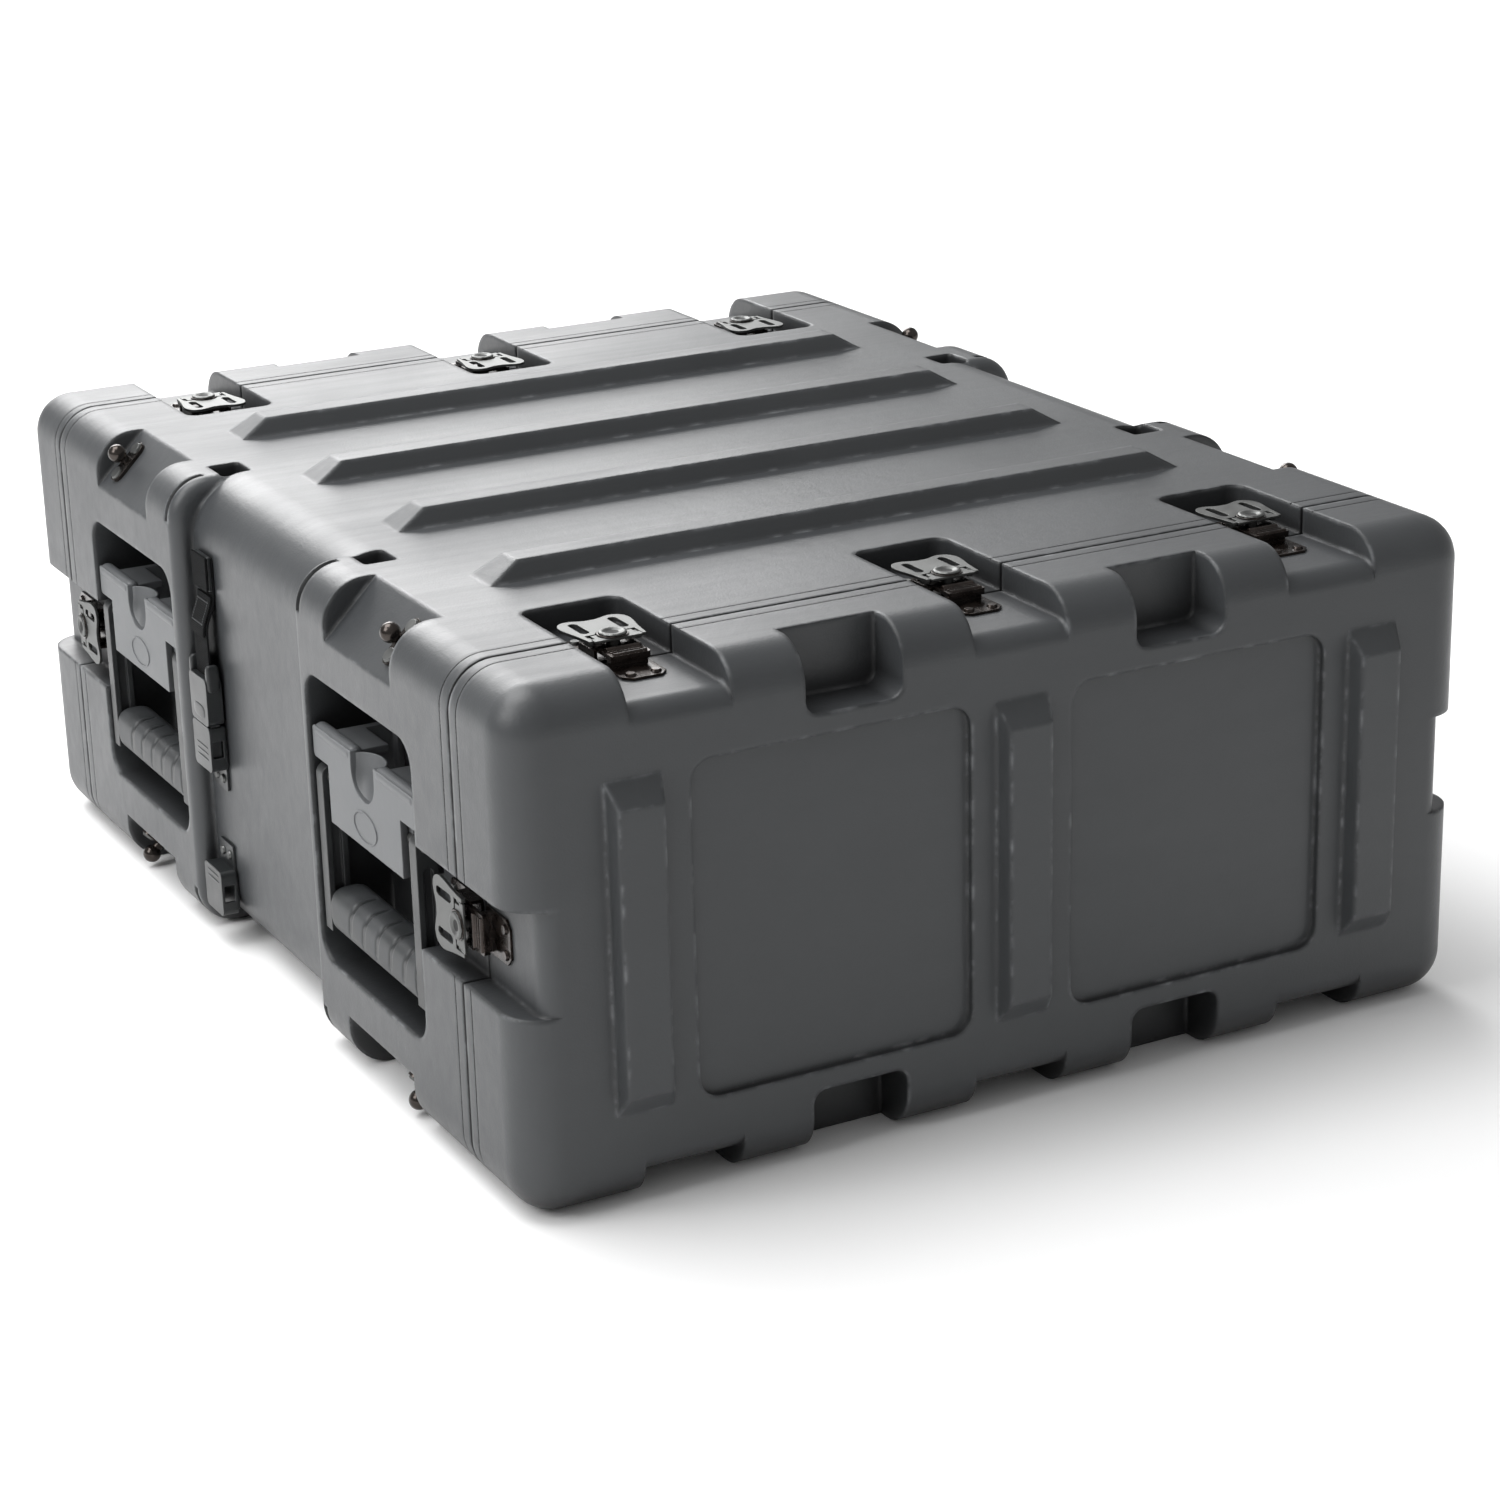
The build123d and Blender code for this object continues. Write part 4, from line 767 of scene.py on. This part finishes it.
@dataclass
class TwistLatch:
    """A recessed latch's turned and pressed details, on top of its packed pan, wing and hook.

    Local lengths run across the latch, along it towards the lid from the parting line, and up
    from the recess floor.
    """

    site: str
    end: End
    face: Face
    column: float
    parting: float = 0.3452
    hub_along: float = -0.009
    hub_foot: float = 0.0151
    hub_top: float = 0.0165
    hub_radius: float = 0.0083
    socket_radius: float = 0.0034
    lobes: int = 12
    lobe_share: float = 0.018
    rib_places: tuple[float, ...] = (0.0022, 0.0052, 0.0082)
    rib_half: float = 0.0105
    rib_round: float = 0.00085
    hook_face: float = 0.0090

    def placed(self, local: np.ndarray) -> np.ndarray:
        """Moves local points to the case's frame.

        Args:
            local: points, shape (..., 3): across, along and up from the latch's seat, which is
                where its column meets the parting line on its face.

        Returns:
            The points in world coordinates: seat + across * i + along * j + normal * k.
        """
        normal = np.array(self.face.value[0], float)
        along = np.array([0.0, self.end.value, 0.0])
        level = self.face in (Face.TOP, Face.BOTTOM)
        across = np.array([1.0, 0.0, 0.0] if level else [0.0, 0.0, 1.0])
        seat = normal * self.face.value[1] + along * self.parting
        seat = seat + across * (self.column if level else MID_HEIGHT)
        return (
            seat
            + local[..., :1] * across
            + local[..., 1:2] * along
            + local[..., 2:] * normal
        )

    def lathe(self, name: str, outline: np.ndarray, wave: float) -> bpy.types.Object:
        """Turns an outline round the hub's line, which stands on the recess floor.

        Args:
            name: the piece's name.
            outline: shape (n, 2), radius and height, closed on itself.
            wave: share by which the radius swells and shrinks, as scallops round the rim.

        Returns:
            The turned piece: radius times (1 + wave cos(lobes t)) in direction t.
        """
        turn = np.linspace(0, 2 * math.pi, 72, endpoint=False)[None, :]
        rim = (outline[:, :1] > 0.8 * outline[:, 0].max()) * wave * np.cos(self.lobes * turn)
        radius = outline[:, :1] * (1 + rim)
        local = np.stack(
            [
                radius * np.cos(turn),
                self.hub_along + radius * np.sin(turn),
                outline[:, 1:] * np.ones_like(turn),
            ],
            axis=-1,
        )
        return grid_piece(name, self.placed(local), True, True)

    def hub_cap(self) -> bpy.types.Object:
        """Turns the hub's cap: a bevelled, finely scalloped ring with a driver socket in it.

        Returns:
            The ring, its outline run from the socket's foot, out and up over the rim, and back in.
        """
        r, s = self.hub_radius, self.socket_radius
        foot, top = self.hub_foot, self.hub_top
        outline = np.array([
            [s, foot], [r * 0.98, foot], [r, foot + 0.0003], [r, top - 0.0007],
            [r - 0.0006, top - 0.0001], [r - 0.0016, top], [s + 0.0019, top - 0.0002],
            [s + 0.0014, top - 0.0006], [s + 0.0004, top - 0.0007], [s, top - 0.001],
        ])
        return self.lathe(f"hub_cap_{self.site}", outline, self.lobe_share)

    def socket_plug(self) -> bpy.types.Object:
        """Turns the dark floor of the hub's driver socket, a shallow cone with a small flat: black
        rubber as painted shade, so that the hole reads dark.

        Returns:
            A disc a little wider than the socket, so that no gap shows round it.
        """
        foot, rim, axis = self.hub_foot, self.socket_radius + 0.0002, MERGE_GAP
        outline = np.array([
            [axis, foot - 0.0001], [rim, foot - 0.0001], [rim, foot + 0.0005],
            [0.0011, foot + 0.0002], [axis, foot + 0.0002],
        ])
        return self.lathe(f"hub_socket_{self.site}", outline, 0.0)

    def hub_shade_ring(self) -> bpy.types.Object:
        """Turns the dark ring round the cap's foot, painted shade for the gap under the cap's rim,
        which sets the cap off the wing.

        Returns:
            A thin ring with a bevelled rim.
        """
        r, foot = self.hub_radius, self.hub_foot
        outline = np.array([
            [r - 0.0006, foot - 0.0003], [r + 0.0009, foot - 0.0003], [r + 0.0011, foot - 0.0001],
            [r + 0.0009, foot + 0.0001], [r - 0.0006, foot + 0.0001],
        ])
        return self.lathe(f"hub_washer_{self.site}", outline, 0.0)

    def hook_ribs(self) -> list[bpy.types.Object]:
        """Presses ribs across the hook.

        Returns:
            One bar at each of rib_places: round in section, its radius shrinking as
            sin(t) ** 0.35 to a point at both ends.
        """
        ribs = []
        for number, along in enumerate(self.rib_places):
            run = np.linspace(0, math.pi, 25)[:, None]
            turn = np.linspace(0, 2 * math.pi, 16, endpoint=False)[None, :]
            swell = np.sin(run) ** 0.35 * self.rib_round
            local = np.stack(
                [
                    -np.cos(run) * self.rib_half * np.ones_like(turn),
                    along + swell * np.cos(turn),
                    self.hook_face + swell * np.sin(turn) * 0.9,
                ],
                axis=-1,
            )
            name = f"hook_rib_{self.site}_{number}"
            ribs.append(grid_piece(name, self.placed(local), False, True))
        return ribs

    def build(self, finishes: dict[str, bpy.types.Material]) -> None:
        """Makes and dresses the latch's details.

        Args:
            finishes: materials by finish name.
        """
        finish_piece(self.hub_cap(), finishes[WING.name], "case")
        # dark ring round the cap's foot: painted shade for the gap
        finish_piece(self.hub_shade_ring(), finishes[PAN.name], "case")
        # black disc in the socket: painted shade for the hole
        finish_piece(self.socket_plug(), finishes[RUBBER.name], "case")
        for rib in self.hook_ribs():
            finish_piece(rib, finishes[PAN.name], f"hook_{self.site}")


# Where the top and bottom latches stand across the case, in metres.
LATCH_COLUMNS = {"left": -0.2222, "centre": 0.0, "right": 0.2222}


def latches() -> list[TwistLatch]:
    """Lists the case's latches.

    Returns:
        Sixteen latches: three on top, three on the bottom and one on each side, at both ends.
    """
    made = []
    for end in End:
        name = end.name.lower()
        for face in (Face.TOP, Face.BOTTOM):
            for place, column in LATCH_COLUMNS.items():
                made.append(TwistLatch(f"{name}_{face.name.lower()}_{place}", end, face, column))
        for face in (Face.LEFT, Face.RIGHT):
            made.append(TwistLatch(f"{name}_{face.name.lower()}", end, face, 0.0))
    return made


@dataclass
class StackingStrap:
    """The strap in the waist: webbing from its clip to the plug, its stitched tail and buckles."""

    side: Side
    waist_x: float = 0.316
    strap_y: float = 0.084
    width: float = 0.0252
    sheet: float = 0.0019
    clip_top: float = MID_HEIGHT + 0.115
    bend_top: float = MID_HEIGHT + 0.089
    bend_bottom: float = MID_HEIGHT + 0.064
    foot: float = MID_HEIGHT + 0.0235
    lift: float = 0.0066
    loop_lift: float = 0.0042
    plug_x: float = 0.3236
    plug_face: float = 0.329
    tail: tuple[float, float] = (MID_HEIGHT + 0.0885, MID_HEIGHT + 0.0615)
    loop: tuple[float, float] = (MID_HEIGHT + 0.1155, MID_HEIGHT + 0.0925)
    sewn: tuple[float, float] = (MID_HEIGHT + 0.084, MID_HEIGHT + 0.070)
    sewn_half: float = 0.0092
    stitch: tuple[float, float, float] = (0.0005, 0.0004, 0.0008)
    cheek_y: float = 0.0153
    cheek_z: float = MID_HEIGHT + 0.0335
    cheek: tuple[float, float, float] = (0.0092, 0.0048, 0.019)
    pad_z: float = MID_HEIGHT + 0.0085
    pad: tuple[float, float, float] = (0.0022, 0.021, 0.010)
    rib: tuple[float, float, float] = (0.0014, 0.022, 0.0018)
    rib_pitch: float = 0.0042
    rib_feet: tuple[float, float] = (MID_HEIGHT - 0.0245, MID_HEIGHT - 0.1125)

    def lane(self, heights: np.ndarray, extra: float) -> np.ndarray:
        """Centre line of the webbing at some heights.

        Args:
            heights: the heights, falling.
            extra: how far this layer stands off the first one.

        Returns:
            Points whose distance from the waist eases from flat to the plug by a smooth step.
        """
        share = np.clip((self.bend_top - heights) / (self.bend_top - self.bend_bottom), 0, 1)
        eased = share * share * (3 - 2 * share)
        x = self.waist_x + self.sheet / 2 + 0.0001 + eased * self.lift + extra
        return np.stack([self.side.value * x, np.full_like(x, self.strap_y), heights], axis=-1)

    def band(self, name: str, heights: np.ndarray, extra: float, width: float) -> bpy.types.Object:
        """Makes one layer of webbing: a thin rounded profile carried down the lane.

        Args:
            name: the piece's name.
            heights: where the layer runs, in metres above the floor.
            extra: how far it stands off the first layer.
            width: the webbing's width.

        Returns:
            The band.
        """
        profile = superellipse(self.sheet / 2, width / 2, 7.0, 36)
        return along_path(name, self.lane(heights, extra), profile, np.array([0.0, 1.0, 0.0]))

    def stitches(self, name: str, extra: float) -> bpy.types.Object:
        """Makes the stitched box on the tail: short threads that stand on its surface.

        Args:
            name: the piece's name.
            extra: how far the stitched layer stands off the first one.

        Returns:
            One mesh of small domed threads, each a flattened ellipsoid.
        """
        spots = []
        (top, bottom), half = self.sewn, self.sewn_half
        proud, thick, long = self.stitch
        for share in np.linspace(0, 1, 9):
            spots.append((-half + 2 * half * share, top, 1))
            spots.append((-half + 2 * half * share, bottom, 1))
            spots.append((-half, bottom + (top - bottom) * share, 0))
            spots.append((half, bottom + (top - bottom) * share, 0))
        lat = np.linspace(-math.pi / 2, math.pi / 2, 5)[:, None]
        lon = np.linspace(0, 2 * math.pi, 8, endpoint=False)[None, :]
        ball = np.stack(
            [np.cos(lat) * np.cos(lon), np.cos(lat) * np.sin(lon), np.sin(lat) * np.ones_like(lon)],
            axis=-1,
        )
        parts = []
        for y, z, sideways in spots:
            size = np.array([proud, long + MM * 0.05, thick] if sideways else [proud, thick, long])
            at = self.lane(np.array([z]), extra + self.sheet / 2)[0] + np.array([0, y, 0])
            parts.append(grid_piece("thread", ball * size + at, False, True))
        work = bmesh.new()
        for part in parts:
            work.from_mesh(part.data)
            bpy.data.objects.remove(part)
        mesh = bpy.data.meshes.new(name)
        work.to_mesh(mesh)
        work.free()
        piece = bpy.data.objects.new(name, mesh)
        bpy.context.scene.collection.objects.link(piece)
        return piece

    def buckle_details(self) -> list[bpy.types.Object]:
        """Makes the plug's cheeks, which the webbing's ladder bar runs between, and its thumb pad.

        Returns:
            Rounded blocks that ride on the plug.
        """
        label = self.side.name.lower()
        out = self.side.value * self.plug_x
        pieces = [
            rounded_block(
                f"plug_cheek_{label}_{'rear' if flank > 0 else 'front'}",
                (out, self.strap_y + flank * self.cheek_y, self.cheek_z),
                self.cheek,
                4.0,
            )
            for flank in (-1, 1)
        ]
        pieces.append(
            rounded_block(
                f"plug_pad_{label}",
                (self.side.value * (self.plug_face - 0.0004), self.strap_y, self.pad_z),
                self.pad,
                3.0,
            )
        )
        return pieces

    def socket_ribs(self) -> list[bpy.types.Object]:
        """Makes the grip ribs on each socket's face: a ladder of low rounded bars across it.

        Returns:
            Three bars on each socket.
        """
        label = self.side.name.lower()
        ribs = []
        out = self.side.value * (self.plug_face - 0.0002)
        for place, foot in zip(("upper", "lower"), self.rib_feet):
            for number in range(3):
                centre = (out, self.strap_y, foot + self.rib_pitch * number)
                name = f"socket_rib_{label}_{place}_{number}"
                ribs.append(rounded_block(name, centre, self.rib, 3.0))
        return ribs

    def build(self, finishes: dict[str, bpy.types.Material]) -> None:
        """Makes and dresses the strap.

        Args:
            finishes: materials by finish name.
        """
        label = self.side.name.lower()
        main = self.band(
            f"strap_band_{label}", np.linspace(self.clip_top, self.foot, 90), 0.0, self.width
        )
        if self.side is Side.LEFT:
            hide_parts("strap_webbing")
        finish_piece(main, finishes[WEBBING.name], "case")
        tail = self.band(
            f"strap_tail_{label}",
            np.linspace(*self.tail, 50),
            self.sheet + 0.0002,
            self.width - 0.001,
        )
        finish_piece(tail, finishes[WEBBING.name], "case")
        loop = self.band(
            f"strap_loop_{label}",
            np.linspace(*self.loop, 50),
            self.loop_lift,
            self.width + 0.0012,
        )
        finish_piece(loop, finishes[WEBBING.name], "case")
        for piece in self.buckle_details():
            finish_piece(piece, finishes[BUCKLE.name], f"strap_plug_{label}")
        for piece in self.socket_ribs():
            finish_piece(piece, finishes[BUCKLE.name], "case")
        sewn = self.stitches(f"strap_stitches_{label}", self.sheet + 0.0002)
        finish_piece(sewn, finishes[THREAD.name], "case")


@dataclass
class Studio:
    """The pale floor, the soft light and the camera."""

    yaw: float = -27.876
    pitch: float = -19.551
    roll: float = -1.512
    distance: float = 2.41498
    target: tuple[float, float, float] = (0.01635, -0.04847, 0.11259)
    lens: float = 84.512
    world_strength: float = 0.4
    floor_gap: float = 0.0004
    # Each light's name, place, side in metres, power in watts and aim.
    lights: tuple = (
        ("overhead", (-0.8, 0.5, 2.5), 1.7, 60.0, (0.0, 0.0, MID_HEIGHT)),
        ("left_wall", (-2.5, -0.3, 2.1), 1.5, 40.0, (0.0, 0.0, MID_HEIGHT)),
        ("far_wall", (0.6, 3.6, 1.9), 2.6, 58.0, (0.0, 0.0, MID_HEIGHT)),
        ("far_floor", (1.5, 7.5, 4.5), 5.0, 700.0, (2.5, 8.0, 0.0)),
    )

    def camera(self) -> None:
        """Places the camera: turned about the target by yaw and pitch, then rolled."""
        yaw, pitch, roll = (math.radians(v) for v in (self.yaw, self.pitch, self.roll))
        flat = math.cos(pitch)
        ahead = np.array([-math.sin(yaw) * flat, math.cos(yaw) * flat, math.sin(pitch)])
        level = np.array([math.cos(yaw), math.sin(yaw), 0.0])
        over = np.cross(level, ahead)
        right = level * math.cos(roll) + over * math.sin(roll)
        top = -level * math.sin(roll) + over * math.cos(roll)
        data = bpy.data.cameras.new("camera")
        data.sensor_width = 36.0
        data.lens = self.lens
        data.clip_start, data.clip_end = 0.05, 50.0
        camera = bpy.data.objects.new("camera", data)
        bpy.context.scene.collection.objects.link(camera)
        place = Matrix.Identity(4)
        where = np.array(self.target) - ahead * self.distance
        for row in range(3):
            place[row][0], place[row][1] = right[row], top[row]
            place[row][2], place[row][3] = -ahead[row], where[row]
        camera.matrix_world = place
        bpy.context.scene.camera = camera

    def softbox(
        self,
        name: str,
        place: tuple[float, float, float],
        size: float,
        power: float,
        aim: tuple[float, float, float],
    ) -> None:
        """Hangs one square soft light.

        Args:
            name: the light's name.
            place: where it hangs, in metres.
            size: the length of its side, in metres.
            power: its power, in watts.
            aim: the point that it looks at.
        """
        data = bpy.data.lights.new(name, "AREA")
        data.size, data.energy = size, power
        light = bpy.data.objects.new(name, data)
        bpy.context.scene.collection.objects.link(light)
        light.location = place
        light.rotation_mode = "QUATERNION"
        light.rotation_quaternion = (Vector(aim) - Vector(place)).to_track_quat("-Z", "Y")

    def floor(self) -> None:
        """Lays the floor: a flat disc far wider than the view."""
        radius = np.array([0.0, 14.0])[:, None]
        turn = np.linspace(0, 2 * math.pi, 96, endpoint=False)[None, :]
        level = 0 * radius * turn - self.floor_gap
        points = np.stack([radius * np.cos(turn), radius * np.sin(turn), level], axis=-1)
        floor = grid_piece("studio_floor", points, False, True)
        paint = bpy.data.materials.new("matt_white_board")
        paint.use_nodes = True
        shader = paint.node_tree.nodes["Principled BSDF"]
        shader.inputs["Base Color"].default_value = linear("fbfbfb")
        shader.inputs["Roughness"].default_value = 0.9
        shader.inputs["Specular IOR Level"].default_value = 0.1
        floor.data.materials.append(paint)

    def build(self) -> None:
        """Sets up the whole studio."""
        self.camera()
        world = bpy.data.worlds.new("studio")
        world.use_nodes = True
        backdrop = world.node_tree.nodes["Background"]
        backdrop.inputs[0].default_value = (1.0, 1.0, 1.0, 1.0)
        backdrop.inputs[1].default_value = self.world_strength
        bpy.context.scene.world = world
        bpy.context.scene.view_settings.view_transform = "Standard"
        self.floor()
        for light in self.lights:
            self.softbox(*light)


def dress_frame(finishes: dict[str, bpy.types.Material]) -> None:
    """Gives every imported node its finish.

    Args:
        finishes: materials by finish name.
    """
    for name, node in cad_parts.items():
        finish = CAD_FINISHES.get(name)
        if finish is None:
            finish = next(f for prefix, f in CAD_GROUPS.items() if name.startswith(prefix))
        node.data.materials.clear()
        node.data.materials.append(finishes[finish.name])
        LOG.info("node %s is %s", name, finish.name)


def main() -> None:
    """Builds the studio, the finishes and every sub-assembly."""
    logging.basicConfig(level=logging.INFO)
    Studio().build()
    every = {
        f.name: f
        for f in [SHELL, WING, PAN, BRACKET, BAIL, GRIP, BUCKLE, WEBBING, THREAD, RUBBER,
                  FRAME_METAL, RAIL_METAL, STUD]
    }
    finishes = {name: finish.material() for name, finish in every.items()}
    dress_frame(finishes)
    for side in Side:
        for end in End:
            CarryHandle(side, end).build(finishes)
        StackingStrap(side).build(finishes)
    for latch in latches():
        latch.build(finishes)
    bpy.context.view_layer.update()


if __name__ == "__main__":
    main()
